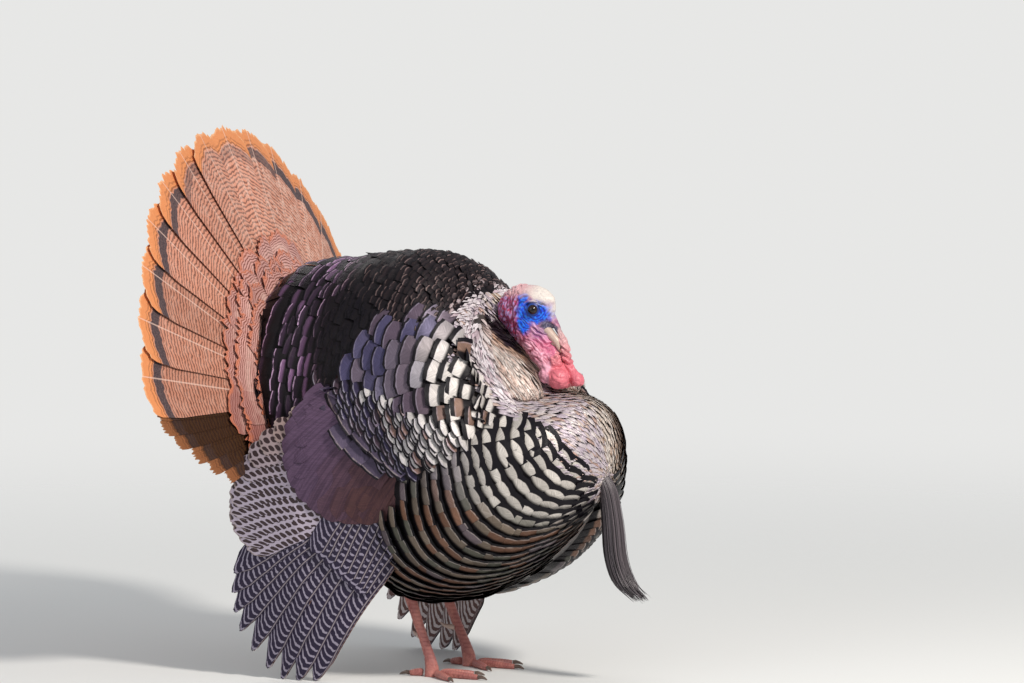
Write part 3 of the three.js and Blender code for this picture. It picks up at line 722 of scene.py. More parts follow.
def fan_lines(angle, start, end, behind_start, behind_end, steps):
    """Shafts on the fan's cone: degrees from the top toward the bird's right, reach from
    the apex and distance behind the quills' front."""
    share = np.linspace(0, 1, steps + 1)
    angle, start, end, b0, b1 = (np.atleast_1d(np.asarray(x, float))[:, None]
                                 for x in (angle, start, end, behind_start, behind_end))
    a = np.radians(angle)[..., None]
    out = FAN_UP * np.cos(a) + FAN_SIDE * np.sin(a)
    quill = out * math.cos(FAN_CUP) + FAN_BACK * math.sin(FAN_CUP)
    back = FAN_BACK * math.cos(FAN_CUP) - out * math.sin(FAN_CUP)
    reach, behind = mix(start, end, share)[..., None], mix(b0, b1, share)[..., None]
    line = FAN_APEX + quill * reach + back * behind
    return line, np.broadcast_to(-back, line.shape)


def behind(places):
    """How far places lie behind the back of the fan's quills."""
    deep = (places - FAN_APEX) @ FAN_BACK
    along = np.linalg.norm(places - FAN_APEX - deep[..., None] * FAN_BACK, axis=-1)
    return deep - math.tan(FAN_CUP) * along - FAN_THICK


def before_fan(shafts, side):
    """Shafts pushed forward where they would run through the fan's quills."""
    push = np.maximum(0, behind(shafts * side.flip) + FAN_THICK + FAN_CLEAR)
    return shafts - push[..., None] * FAN_BACK * side.flip


def rump_reach(angle):
    """How far from the fan's apex its quills come out of the body."""
    a = np.radians(angle)
    return 150 + 48 * np.cos(a / 2) ** 1.5 - 45 * np.maximum(0, -np.cos(a))


def rectrices(side):
    """Bright feathers over the top, and narrow ones low on both sides painted dark as shaded copies in the
    body's shadow.
    """
    rng, coat = side.rng, Coat()
    bright = FAN_SPACING * (np.arange(BRIGHT_FEATHERS) - (BRIGHT_FEATHERS - 1) / 2)
    angle = np.concatenate([-LOW_ANGLES[::-1], bright, LOW_ANGLES])
    count, low = len(angle), np.abs(angle) > 80
    angle = angle + rng.normal(0, 0.5, count) * ~low
    reach = np.interp(np.abs(angle), [77, 84, 92, 97, 102], [FAN_RADIUS - 2, 446, 385, 340, 304])
    reach = reach + rng.normal(0, 2.5, count)
    order = np.abs(angle) / FAN_HALF
    line, norms = fan_lines(angle, 74, reach, 1.0 + 0.8 * order, 1.4 + 1.2 * order, 16)
    width = np.where(low, 46, 1.3 * np.radians(FAN_SPACING) * reach)
    rows = np.concatenate([np.linspace(0, 0.8, 15), np.linspace(0.83, 1, 12)])
    # Painted shadow: the low feathers get a near-black tint, little buff and no sheen; the feathers toward
    # the bird's right are darkened as painted shade too.
    tint = np.where(low[:, None], [[0.03, 0.018, 0.005]], [[0.79, 0.345, 0.235]])
    tint = tint * side.shades(count, 0.9, 1.1) * mix(1, 0.82, smooth(20, 60, angle))[:, None]
    middle = np.clip(np.abs(angle - 4) / 26, 0.1, 1)
    # The painted sheen is strongest on the feathers toward the bird's left.
    coat.add(side, line, norms, width, RECTRIX, rows, cols=25, round_tip=np.where(low, 0.04, 0.07),
             camber=0.03, roll=-0.06 * np.sign(angle), ragged=2.6, tint=tint,
             band=np.where(low, 0.2, 0.95 * middle), glint=np.where(low, 0.3, 1.0),
             gloss=np.where(low, 0, 0.3 + 0.6 * smooth(30, -20, angle)),
             own_patch=patch_grid(count, 0, 1, (0.004, 0.01)))
    coat.build("tail_feathers", tail_feather(), "tail_feathers", "tail_fan")


def tail_coverts(side):
    """Three rings of rosy feathers over the foot of the fan."""
    rng, coat = side.rng, Coat()
    for ring, (count, reach, length, wide) in enumerate(COVERT_RINGS):
        half = 96 - 3 * ring
        angle = np.linspace(-half, half, count) + rng.normal(0, 2.0, count)
        end = reach - (46 - 8 * ring) * (np.abs(angle) / half) ** 3 + rng.normal(0, 11, count)
        start = np.maximum(end - length, rump_reach(angle) - 40)
        front = -4.0 - 4.5 * ring
        line, norms = fan_lines(angle, start, end, front + 3, front, 8)
        shade = smooth(60, 95, np.abs(angle))
        tint = blend([0.8, 0.44, 0.4], [0.42, 0.18, 0.17], shade) * side.shades(count, 0.8, 1.1)
        coat.add(side, line, norms, wide, BROAD, np.linspace(0, 1, 16), cols=17, camber=0.08,
                 roll=rng.normal(0, 0.05, count), ragged=4.0, tint=tint, bars=0.9, gloss=0.75 - 0.4 * shade,
                 own_patch=patch_grid(count, ring, 3))
    coat.build("tail_coverts_upper", covert_feather(), "covert_feathers", "tail_coverts")


# ---------------------------------------------------------------- breast and flank

HINGE_FOOT = np.array([0, -258, 354.0])
HINGE_DOWN = unit([0.44, -0.454, -0.776])


def breast_row(psi):
    """Where a row of side feathers lies: a cut of the trunk by a plane hinged on a line
    from the beard's root up through the shoulder."""
    first = unit(np.cross([1, 0, 0], HINGE_DOWN))
    second = np.cross(HINGE_DOWN, first)
    out = first * math.cos(psi) + second * math.sin(psi)
    beta = np.radians(np.linspace(62, -78, 120))[:, None]
    places, met = TRUNK.hit(HINGE_FOOT - 80 * HINGE_DOWN, out * np.cos(beta) - HINGE_DOWN * np.sin(beta))
    return places[met]


def breast_turns():
    """Degrees of the rows round the hinge, closer together toward the belly."""
    turns = [-124.0]
    while turns[-1] < 10:
        turns.append(turns[-1] + np.interp(turns[-1], [-80, -62, -40, 0], [6.6, 4.6, 3.3, 2.7]))
    return turns


def side_tint(spots, pale, side):
    """Feather tints of the side's rows: silver in front, part own colour and part painted sky reflection,
    then copper, bronze, green and violet, darkened toward the belly as painted shade.
    """
    n = len(spots)
    choice = np.array([[0.3, 0.155, 0.1], [0.3, 0.235, 0.18], [0.19, 0.185, 0.145], [0.24, 0.19, 0.21]])
    slow = drift(spots, 60, 5.0) + side.rng.normal(0, 0.4, n)
    warm = choice[np.digitize(slow, [-0.3, 0.1, 0.45])]
    # Painted shade: darker toward the belly's bottom.
    low = smooth(300, 190, spots[:, 2])[:, None]
    shoulder = smooth(290, 370, spots[:, 2]) * smooth(-60, -140, spots[:, 1])
    warm = blend(warm, [0.34, 0.3, 0.32], 0.8 * shoulder)
    # The pale front blends the feathers' own silver with a painted sky reflection.
    return blend(warm * mix(1, 0.55, low), [0.8, 0.74, 0.68], pale) * side.shades(n, 0.75, 1.2)


def crop_side(spots):
    """How far places lie beyond the plane that parts the crop's fine feathers from the rows."""
    return spots @ np.array([0.615, -0.568, 0.72]) - 350.0


def below_wing(spots):
    """Below the wing's lower front edge, where the flank's rows begin."""
    edge = np.interp(spots[:, 1], [-202, -200, -187, -172, -110, -48, -20, 0, 30, 110, 160],
                     [999, 476, 470, 446, 404, 372, 350, 300, 262, 236, 225])
    return spots[:, 2] < edge


def breast_roots(side):
    """Where the breast's rows root, and their ways along the rows' planes."""
    roots, ways = [], []
    for k, psi in enumerate(breast_turns()):
        line = breast_row(math.radians(psi))
        line = line[line[:, 0] < 6]
        if len(line) > 2:
            spots = even(line, np.interp(psi, [-80, -60], [43, 30]), 0.5 * (k % 2) + 0.2)
            spots = spots + side.rng.normal(0, 0.6, spots.shape)
            roots.append(spots)
            ways.append(np.cross(-HINGE_DOWN, spots - HINGE_FOOT))
    roots, ways = np.concatenate(roots), unit(np.concatenate(ways))
    keep = below_wing(roots) & (crop_side(roots) < 3)
    roots, ways = roots[keep], ways[keep]
    rear = smooth(-20, 110, roots[:, 1]) * smooth(300, 200, roots[:, 2])
    return roots, unit(blend(ways, [0, 1, -0.1], rear))


def breast(coat):
    """Rows round the breast and flank: white lenses in front, part own colour and part painted sky
    reflection, then square silver and bronze tiles.
    """
    for side in both(21):
        rng = side.rng
        roots, ways = breast_roots(side)
        middle = smooth(60, 20, np.abs(roots[:, 0])) * smooth(-120, -240, roots[:, 1])
        high = smooth(360, 320, roots[:, 2]) * smooth(225, 275, roots[:, 2])
        flank = smooth(-120, -40, roots[:, 1]) * high
        length = 50 - 6 * middle + rng.normal(0, 0.5, len(roots))
        lift = 2.5 + 6 * flank + 2.5 * middle + rng.normal(0, 0.4, len(roots))
        line, norms = lie(TRUNK, roots, ways, length, 10, lift)
        tip = line[:, -1]
        border = 268 + 0.44 * (tip[:, 1] + 283)
        # Where the white lenses lie: the feathers' own pale colour with a painted sky reflection.
        pale = smooth(-12, 28, tip[:, 2] - border) * smooth(-150, -205, tip[:, 1])
        front = pale > 0.4
        width = mix(36, 46, pale) - 3 * middle + rng.normal(0, 0.6, len(roots))
        tint = side_tint(tip, pale, side)
        band = mix(4.4, 8.4, pale) + rng.normal(0, 0.4, len(roots))
        # How far from the tip the painted shade toward the root begins.
        deep = mix(15.0, 19.5, pale)
        for group, bend, lens in ((front, 0.04, 3.6), (~front, 0.02, 0.8)):
            coat.add(side, line[group], norms[group], width[group], SLAB, cols=9, round_tip=bend,
                     roll=rng.normal(0, 0.03, group.sum()), ragged=0.5, tint=tint[group], glint=0.45,
                     band=band[group], shine=(0.62, 0.55, 0.52), lens=lens, deep=deep[group])


# ---------------------------------------------------------------- back and rump

BACK_FRONT, BACK_REAR, RUMP_TURN = -96.0, 212, 158  # along the bird
BACK_AXIS = 440.0  # height of the line that the back's rings go round


def trunk_ring(y, low, high, count):
    """A line round the trunk's top, where the back stands at y; it leans back past the rump's turn."""
    turn = np.radians(np.linspace(low, high, count))[:, None]
    lean = [0, max(0, y - RUMP_TURN) / 60, 0]
    out = [-1.0, 0, 0] * np.sin(turn) + [0, 0, 1.0] * np.cos(turn) + lean
    line, met = TRUNK.hit(np.array([0, min(y, RUMP_TURN), BACK_AXIS]), unit(out))
    return line[met]


def back_colours(end, rump, side):
    """Tint, thin painted highlight line's colour and metallic weight of a ring's feathers, by where they end,
    with painted shade in the hollow behind the shoulder and low on the rump.
    """
    rng, n = side.rng, len(end)
    purple = side.either(n, 0.35, [0.17, 0.085, 0.18], [0.034, 0.018, 0.038])
    tint = mix([0.02, 0.013, 0.015], purple, rump) * side.shades(n, 0.4, 1.5)
    # Painted shade: near-black in the hollow between the rump and the shoulder, with no highlight line and no
    # metal there.
    hollow_shade = smooth(86, 44, np.hypot(end[:, 1] - 84, 0.85 * (end[:, 2] - 552)))[:, None]
    tint = mix(tint, [0.003, 0.0025, 0.006], 0.95 * hollow_shade)
    # Painted shade: the rump's rows darken low down, toward the wing.
    under = (rump * smooth(455, 405, end[:, 2]))[:, None]
    tint = tint * (1 - 0.85 * under)
    nape = smooth(-70, -78, end[:, 1]) * smooth(583, 592, end[:, 2])
    tint = mix(tint, [0.62, 0.5, 0.52], nape[:, None] * (rng.random((n, 1)) < 0.45))
    shine = mix([0.17, 0.115, 0.11], [0.46, 0.3, 0.46], rump)
    shine = shine * np.where(rng.random((n, 1)) < 0.45, 0.12, side.shades(n, 0.5, 1.4))
    return tint, shine * (1 - 0.95 * hollow_shade) * (1 - 0.8 * under), 0.08 * (1 - hollow_shade[:, 0])


def back(coat):
    """Rows of square-ended feathers round the back, from the neck's foot to the rump's lip."""
    for side in both(31):
        rng, y, k = side.rng, BACK_FRONT, 0
        while y < BACK_REAR:
            big, rump = smooth(-90, 40, y), smooth(60, 120, y)
            wide = mix(14, mix(26, 42, rump), big)
            spots = even(trunk_ring(y, -3, 128, 160), wide * 0.84, 0.5 * (k % 2) + 0.1)
            spots = spots + rng.normal(0, 0.05, spots.shape) * wide * [0.6, 1, 0.6]
            spots = spots[spots[:, 2] > np.interp(spots[:, 1], [-96, -60, 20, 70], [580, 562, 537, 380])]
            n = len(spots)
            ways = [0, 1.0, 0.05] + rng.normal(0, 0.07, (n, 3))
            length = mix(24, mix(38, 44, rump), big) + rng.normal(0, 1.5, n)
            shaft, norms = lie(TRUNK, spots, ways, length, lift=4.0 + rng.normal(0, 0.8, n), steps=5)
            shaft = before_fan(shaft, side)
            tint, shine, gloss = back_colours(shaft[:, -1], rump, side)
            coat.add(side, shaft, norms, wide * rng.uniform(0.86, 1.04, n), SLAB, round_tip=0.03,
                     camber=0.08, roll=rng.normal(0, 0.07, n), ragged=0.5, tint=tint,
                     band=mix(0.8, 1.6, big), gloss=gloss, glint=1.0, shine=shine,
                     deep=mix(4.0, mix(4.5, 6, rump), big))
            y += mix(4.6, 12.5, big)
            k += 1
        tuft(coat, side)


def tuft(coat, side):
    """Fine orange feathers where the rump meets the tail's foot."""
    rng = side.rng
    for y in (196, 202, 208):
        spots = even(trunk_ring(y, -2, 52, 90), 7.5, rng.random())
        n = len(spots)
        ways = [0, 1.0, 0.45] + rng.normal(0, 0.12, (n, 3))
        shaft, norms = lie(TRUNK, spots, ways, rng.normal(30, 3, n), 4, rng.normal(6, 1.5, n), steps=5)
        tint = side.either(n, 0.7, [0.72, 0.3, 0.17], [0.9, 0.62, 0.5])
        coat.add(side, before_fan(shaft, side), norms, 9.5, OVAL, FINE_ROWS, cols=5, camber=0.2,
                 ragged=1.5, tint=tint, gloss=0.1, lens=0.0, deep=40.0)


def undercoat(coat):
    """Soft brown feathers under the tail, round the vent, on the thighs and behind the fan."""
    vent = Surface.of("trunk", "undertail")
    for side in both(41):
        spots = scatter(vent, 15, lambda p: (p[:, 0] < 3) & (p[:, 1] > 60) & (p[:, 2] < 330), side.rng)
        shaft, norms = lie(vent, spots, [0, 1.0, 0.15], 44.0, lift=3)
        tint = [0.23, 0.155, 0.11] * side.shades(len(spots), 0.6, 1.4)
        coat.add(side, shaft, norms, 26, OVAL, camber=0.2, ragged=2, tint=tint, gloss=0.1, band=2.0)
        thigh_feathers(coat, side)
    behind_fan(coat)


def thigh_feathers(coat, side):
    """On each thigh in its own place: the legs stand apart, so they aren't mirrored."""
    leg = Surface.of("thigh_left" if side.mirror else "thigh_right")
    own = Side(0)
    own.rng = side.rng
    spots = scatter(leg, 9, lambda p: p[:, 2] > 165, own.rng)
    shaft, norms = lie(leg, spots, [0, -0.1, -1.0], 24.0, 5, 1.5)
    tint = [0.2, 0.13, 0.095] * own.shades(len(spots), 0.6, 1.4)
    coat.add(own, shaft, norms, 14, OVAL, THIGH_ROWS, cols=5, camber=0.2, ragged=1.5, tint=tint, gloss=0.1)


def behind_fan(coat):
    """Longer brown feathers that spread over the back of the fan's foot."""
    side, rear, centre = Side(43), Surface.of("undertail"), np.array([0, 0, 330.0])
    spots = scatter(rear, 15, lambda p: (p[:, 2] > 318) & (behind(p) > 2), side.rng)
    out = (spots - centre) * [1, 0, 1]
    order = np.argsort(-np.linalg.norm(out, axis=1))
    spots, out = spots[order], out[order]
    n = len(spots)
    shaft, norms = lie(rear, spots, out + [0, 0, 0.01], side.rng.normal(52, 3, n), 6, 5)
    shaft = shaft + np.maximum(0, FAN_THICK - behind(shaft))[..., None] * FAN_BACK
    tint = side.either(n, 0.6, [0.15, 0.095, 0.07], [0.24, 0.15, 0.1])
    coat.add(side, shaft, norms, 27, OVAL, camber=0.15, ragged=2.5, tint=tint, gloss=0.1, glint=0.9,
             shine=(0.5, 0.32, 0.2), deep=60.0)


# ---------------------------------------------------------------- neck and crop


SLANT_BACK, SLANT_RISE, SLANT_DROP = 0.601, 0.0633, 0.1052  # a look from 31 degrees round and 7 up
HEAD_FOOT = 462  # the neck's feathers begin at this height


def slanting(spots):
    """Places on the bird's side as a slanting look from ahead sees them: how far back, how high."""
    x, y, z = np.abs(spots[..., 0]), spots[..., 1], spots[..., 2]
    return y + SLANT_BACK * x, z + SLANT_RISE * y - SLANT_DROP * x


def ruff_edge(spots):
    """How far places lie in front of the line where the neck's silver side feathers begin."""
    back_by, high = slanting(spots)
    return np.interp(high, [446, 464, 498, 541, 579, 590, 605, 616, 630],
                     [-110, -94, -68, -48, -43, -42, -57, -71, -90]) - back_by


def ruff_parting(spots):
    """How far places lie behind the line where the neck's lobes end at the shaded gap under the head."""
    back_by, high = slanting(spots)
    return back_by - np.interp(high, [455, 488, 503, 521, 555, 597], [-198, -192, -168, -130, -94, -76])


def ruff_roots(side, fine, surface, gap):
    """Places, share of the hair-like lobe in them, and ways of the neck's strands."""
    inside = lambda p: (p[:, 0] < 2) & (p[:, 2] > HEAD_FOOT) & (ruff_edge(p) > 0)
    spots = scatter(surface, gap, inside, side.rng)
    inner = smooth(20, 36, ruff_edge(spots) + 0.12 * (540 - spots[:, 2]))
    spread = np.clip(inner + 0.1 * side.rng.normal(0, 1, len(spots)), 0, 1)
    pick = ((spread > 0.5) == fine) | (spots[:, 2] > (505 if fine else 535))
    spots, inner = spots[pick], inner[pick]
    z = spots[:, 2]
    ways = np.stack([np.interp(z, [560, 595], [0, -0.3]),
                     np.interp(z, [500, 540, 570, 600], [-0.75, -0.5, 0.05, 0.65]),
                     np.interp(z, [570, 600], [-0.85, -0.6])], 1)
    ways = tangent(blend(ways, [0, -0.62, -0.79], inner), surface.nearest(spots)[1])
    kept = strands(spots, ways, 9 if fine else 12, 2.1 if fine else 3.0)
    return spots[kept], inner[kept], ways[kept]


def ruff_tint(end, inner, side):
    """Silver beside the nape, buff on the lobe, then brown and a black painted shadow toward the gap under
    the head.
    """
    n = len(end)
    silver = side.either(n, 0.75, [0.98, 0.88, 0.92], [0.76, 0.6, 0.66])
    buff = mix([0.98, 0.87, 0.81], [0.82, 0.57, 0.48], side.rng.random((n, 1)) ** 1.4)
    near = ruff_parting(end)
    buff = blend(buff, [0.62, 0.32, 0.19], 0.75 * smooth(30, 6, near) * smooth(480, 510, end[:, 2]))
    tint = blend(silver, buff, inner) * side.shades(n, 0.85, 1.15)
    # Painted shadow: near-black where the strands reach the gap under the head.
    return blend([0.035, 0.02, 0.03], tint, smooth(-4, 5, near))


def ruff(coat):
    """Narrow silver feathers down the neck's sides, running into a buff hair-like lobe."""
    for side in both(51):
        rng = side.rng
        for fine, surface, gap in ((False, GUIDE, 2.4), (True, RUFF, 2.0)):
            spots, inner, ways = ruff_roots(side, fine, surface, gap)
            n, z = len(spots), spots[:, 2]
            ways = ways + rng.normal(0, 0.02, (n, 3))
            length = np.interp(z, [550, 575], [36, 32]) + rng.normal(0, 2, n)
            lift = np.interp(z, [515, 560], [1.6, 4.2]) + rng.normal(0, 0.25, n)
            shaft, norms = lie(surface, spots, ways, length, 4, lift)
            coat.add(side, shaft, norms, mix(6.6, 4.2, inner), OVAL, FINE_ROWS, cols=3 if fine else 5,
                     tint=ruff_tint(shaft[:, -1], inner, side), round_tip=0.25, camber=0.1, ragged=1.0,
                     gloss=0.15, lens=mix(0.2, 0.0, inner), deep=40.0)


# Most and some of the crop's feathers, on the right side and on the left; the cream on the left is a painted
# highlight.
CROP_SHEEN = (([0.66, 0.55, 0.64], [0.6, 0.4, 0.34]), ([0.9, 0.76, 0.66], [0.62, 0.42, 0.3]))


def upper_breast(coat):
    """Fine feathers with a copper and violet sheen and a painted cream highlight on the left, drawn together
    at the beard's root.
    """
    for side in both(61):
        rng = side.rng
        keep = lambda p: (p[:, 0] < 3) & (p[:, 1] < -80) & (p[:, 2] > 285) & (crop_side(p) > -5)
        spots = scatter(TRUNK, 2.8, keep, rng)
        ways = tangent([0, -306, 340.0] - spots, TRUNK.nearest(spots)[1])
        kept = strands(spots, ways, 12, 3.3)
        spots, ways = spots[kept], ways[kept]
        n = len(spots)
        shaft, norms = lie(TRUNK, spots, ways, 30.0, 5, rng.normal(1.6, 0.4, n))
        tint = side.either(n, 0.7, *CROP_SHEEN[side.mirror])
        tint = mix(tint, [0.92, 0.84, 0.8], 0.8 * rng.random((n, 1)) ** 1.6)
        if side.mirror:
            tint = blend(tint, [0.26, 0.16, 0.11], 0.85 * smooth(42, 75, np.abs(spots[:, 0])))
        coat.add(side, shaft, norms, 7.6, OVAL, FINE_ROWS, cols=5, camber=0.2, ragged=0.8, tint=tint,
                 gloss=0.25, band=0.5, lens=0.4, deep=15.0)


# ---------------------------------------------------------------- wing


def seen_from_side(points):
    """Places on the right side's outside at (y, z) points."""
    start = np.column_stack([np.full(len(points), -600), points]).astype(float)
    places, met = GUIDE.hit(start, np.broadcast_to([1.0, 0, 0], start.shape))
    return places[met]


def scapular_row(j):
    """The j-th row's line over the shoulder, from the rear forward, and its hub's height."""
    bottom = max(486 - 9.0 * min(j, 9), 424)
    top = 580 - 3.6 * max(0, min(j, 12) - 4.5) ** 1.5 - 40 * (j < 0)
    z = np.linspace(top, bottom, 40)
    hub = 541 - 3.5 * j
    y = 31 - 21 * min(j, 7) - 9.5 * max(0, j - 7) - np.where(z < hub, 15, 45) * ((z - hub) / 50) ** 2
    line = seen_from_side(np.column_stack([y - mix(24, 18, smooth(3.5, 7, j)), z]))
    return line[ruff_edge(line) < 14], hub


def scapulars(coat, side):
    """Broad square-ended rows over the shoulder, bulging back; black and white in front, the white partly a
    painted highlight.
    """
    rng = side.rng
    for j in np.arange(-1, 16):
        front, small = smooth(3.5, 7, j), smooth(7.5, 9, j)
        line, hub = scapular_row(j)
        if len(line) < 4:
            continue
        spots = even(line, mix(mix(42, 33, front), 24, small), 0.2 + 0.5 * (j % 2))
        spots = spots + rng.normal(0, 0.4, spots.shape)
        n = len(spots)
        if not n:
            continue
        ways = np.column_stack([np.zeros(n), np.ones(n), (spots[:, 2] - hub) / 170])
        length = mix(mix(48.0, 38, front), 27, small) + rng.normal(0, 0.9, n)
        shaft, norms = lie(GUIDE, spots, ways, length, lift=mix(6.0, 3.5, small) + rng.normal(0, 0.5, n))
        low = smooth(500, 450, spots[:, 2])[:, None]
        # The white in front is the feathers' pale colour together with a painted highlight.
        white = side.either(n, 0.9 - 0.4 * low, [0.82, 0.76, 0.72], [0.28, 0.17, 0.13])
        grey = side.either(n, 0.55, [0.092, 0.082, 0.175], [0.14, 0.1, 0.145])
        grey = mix(grey, [0.3, 0.26, 0.33], 0.5 * rng.random((n, 1)) ** 3)
        tint = mix(grey, white, front) * side.shades(n, 0.85, 1.15)
        coat.add(side, shaft, norms, mix(mix(52, 35, front), 25, small), SLAB, cols=9,
                 round_tip=mix(0.06, 0.02, front), camber=0.14, roll=rng.normal(0, 0.03, n),
                 ragged=0.6, tint=tint, lens=mix(0.9, 0.4, front), glint=0.3, shine=(0.5, 0.44, 0.55),
                 band=mix(mix(2.6, 7.5, front), 4.2, small), gloss=mix(0.3, 0.1, front),
                 deep=mix(mix(22, 20, front), 12, small))


# Where the lesser coverts' rows start and where they end, as (y, z).
LESSER_TOP = ((-150, 424), (-98, 440), (-65, 458), (-9, 476), (67, 486), (90, 488))
LESSER_END = ((-150, 392), (-120, 368), (-98, 358), (-52, 348), (-32, 353), (17, 394), (47, 418), (78, 474))


def lesser_tint(near, side):
    """White with copper in front, the white partly a painted highlight; nearly black with violet behind."""
    n = len(near)
    pick = side.rng.random((n, 1))
    white = [0.86, 0.8, 0.78] * side.shades(n, 0.6, 1.1)
    dark = np.where(pick < 0.86, [[0.08, 0.05, 0.07]], [[0.22, 0.17, 0.24]])
    dark = np.where(pick < 0.6, [[0.045, 0.036, 0.085]], dark)
    pale = np.where(pick < 0.14, [[0.32, 0.19, 0.16]], white)
    return np.where(near[:, None] + 0.25 * side.rng.normal(0, 1, (n, 1)) > 0.5, pale, dark)


def lesser_coverts(coat, side):
    """Steep rows of small feathers from the shoulder's edge down to the wrist, like slivers."""
    rng = side.rng
    down = np.array([-0.49, -0.87])
    for k, start in enumerate(np.arange(96, -165, -8.6)):
        top = np.array([start, np.interp(start, *zip(*LESSER_TOP)) + 8])
        line = top + down * np.linspace(0, 150, 60)[:, None] + rng.normal(0, 1.0, 2)
        ends = line + [22, -12]
        line = line[ends[:, 1] > np.interp(ends[:, 0], *zip(*LESSER_END))]
        if len(line) < 3:
            continue
        spots = even(seen_from_side(line), 24, 0.1 + 0.5 * (k % 2))
        n = len(spots)
        if not n:
            continue
        spots = spots + rng.normal(0, 0.9, spots.shape)
        ways = [0, 0.87, -0.49] + rng.normal(0, 0.06, (n, 3))
        # How far toward the front and top, where the white with its painted highlight lies.
        near = smooth(20, 75, 0.9 * (spots[:, 2] - 430) - spots[:, 1])
        shaft, norms = lie(GUIDE, spots, ways, mix(32, 28, near), 4, 7.0 + rng.normal(0, 0.5, n), steps=5)
        tint = lesser_tint(near, side)
        coat.add(side, shaft, norms, mix(31, 28, near), SLAB, round_tip=0.06, camber=0.08,
                 roll=rng.normal(0.0, 0.05, n), ragged=0.5, tint=tint, band=2.2, gloss=0.2, lens=1.0,
                 glint=0.5, shine=(0.5, 0.46, 0.55), deep=9.0)


# Tips and roots of the blue-grey row over the plain panel's upper edge, as (y, z).
STRIP_TIPS = ((100, 466), (92, 438), (77, 416), (41, 382), (2, 353), (-36, 333))
STRIP_ROOTS = ((63, 480), (57, 456), (46, 438), (14, 410), (-22, 384), (-58, 364))


def strip_row(coat, side):
    """Rows of blue-grey feathers with black ends over the plain panel's upper edge."""
    share = np.linspace(0, 1, 60)
    tips, roots = curve(STRIP_TIPS, share), curve(STRIP_ROOTS, share)
    for step in (24, 0):
        edge = seen_from_side(roots - (tips - roots) * step / 38)
        spots = even(edge, 34, 0.2 + 0.02 * step)
        n = len(spots)
        match = np.argmin(np.abs(spots[:, None, 1] - edge[None, :, 1]), axis=1)
        ways = np.column_stack([np.zeros(n), (tips - roots)[match]])
        shaft, norms = lie(GUIDE, spots, ways, 40.0, 4, 9.0 + 0.04 * step)
        tint = [0.12, 0.092, 0.15] * side.shades(n, 0.7, 1.2)
        coat.add(side, shaft, norms, 42, SLAB, cols=9, round_tip=0.02, camber=0.06, ragged=0.3,
                 tint=tint, band=2.6, glint=0.4, deep=20)


def wing_out(y, z):
    """Half width of the closed wing's outer face at a side view's place."""
    forward = np.maximum(0, (120 - y) / 300) ** 0.85
    over = np.maximum(0, (z - 340) / 235) ** 2
    under = np.maximum(0, (340 - z) / 340)
    tucked = np.maximum(0, (60 - y) / 100) * np.clip((300 - z) / 80, 0, 1)
    free = 250 - 60 * forward - 96 * over - 14 * under - 26 * tucked
    start = np.stack([np.full(y.size, -400), np.minimum(y, 150).ravel(), z.ravel()], 1)
    places, met = TRUNK.hit(start, np.broadcast_to([1.0, 0, 0], start.shape))
    return np.maximum(free, np.where(met, 6.5 - places[:, 0], 0).reshape(y.shape))


def wing_lines(roots, tips, depth, steps, bow):
    """Shafts from (y, z) roots to tips, `depth` under the wing's outer face."""
    share = np.linspace(0, 1, steps + 1)[None, :, None]
    gap = (tips - roots)[:, None]
    yz = roots[:, None] + gap * share + gap[..., ::-1] * [-1, 1] * (4 * share * (1 - share)) * bow
    y, z = yz[..., 0], np.maximum(yz[..., 1], GROUND + 0.8)
    dy = (wing_out(y + 3, z) - wing_out(y - 3, z)) / 6
    dz = (wing_out(y, z + 3) - wing_out(y, z - 3)) / 6
    line = np.stack([np.reshape(depth, (-1, 1)) - wing_out(y, z), y, z], 2)
    return line, unit(np.stack([-np.ones_like(dy), -dy, -dz], 2))


# Curves of roots and tips of the wing's long feathers, as (y, z).
PRIMARY_ROOTS = ((118, 262), (76, 262), (30, 256), (-22, 205))
PRIMARY_TIPS = ((236, 192), (243, 134), (230, 80), (186, 28), (138, 4), (88, 8))
SECONDARY_ROOTS = ((104, 424), (104, 366), (70, 304), (38, 278))
SECONDARY_TIPS = ((132, 436), (200, 368), (238, 300), (238, 250), (204, 208))
PANEL_ROOTS = ((80, 470), (32, 438), (-22, 398), (-86, 350))
PANEL_TIPS = ((100, 444), (130, 392), (126, 338), (104, 296), (66, 270), (16, 268), (-18, 290))
SHORT_ROOTS = ((60, 276), (28, 280), (-8, 268), (-28, 230))
SHORT_TIPS = ((96, 222), (68, 196), (42, 168), (26, 150))
PANEL_COUNT, SECONDARY_COUNT, PRIMARY_COUNT = 12, 12, 9
PANEL_BORDER = 3.5  # how far the dark feather under each plain one comes out


def vane_rows(count):
    return np.concatenate([np.linspace(0, 0.9, count), np.linspace(0.92, 1, 5)])


def greater_coverts(coat, side):
    """The plain panel: broad feathers, each over a slightly larger dark one that borders it."""
    share = 0.9 * np.arange(PANEL_COUNT) / (PANEL_COUNT - 1)
    roots, tips = curve(PANEL_ROOTS, share), curve(PANEL_TIPS, share)
    plain = blend([0.15, 0.09, 0.155], [0.12, 0.055, 0.055], smooth(0.45, 0.85, share))
    for border, tint in ((PANEL_BORDER, (0.01, 0.008, 0.01)), (0, plain)):
        depth = mix(1.0, 3.0, share) + 1.6 * border
        line, norms = wing_lines(roots, tips + border * unit(tips - roots), depth, 8, 0.04)
        line[..., 0] += 14 * smooth(-8, -50, line[..., 1])
        coat.add(side, line, norms, mix(50, 66, share) + border, SLAB, vane_rows(12), cols=13,
                 round_tip=0.1, camber=0.02, roll=0.02, ragged=0.6, tint=tint, gloss=0.35, lens=-1.0,
                 deep=500.0, bars=1.75, own_patch=patch_grid(PANEL_COUNT, side.mirror + 2 * (border > 0), 4))


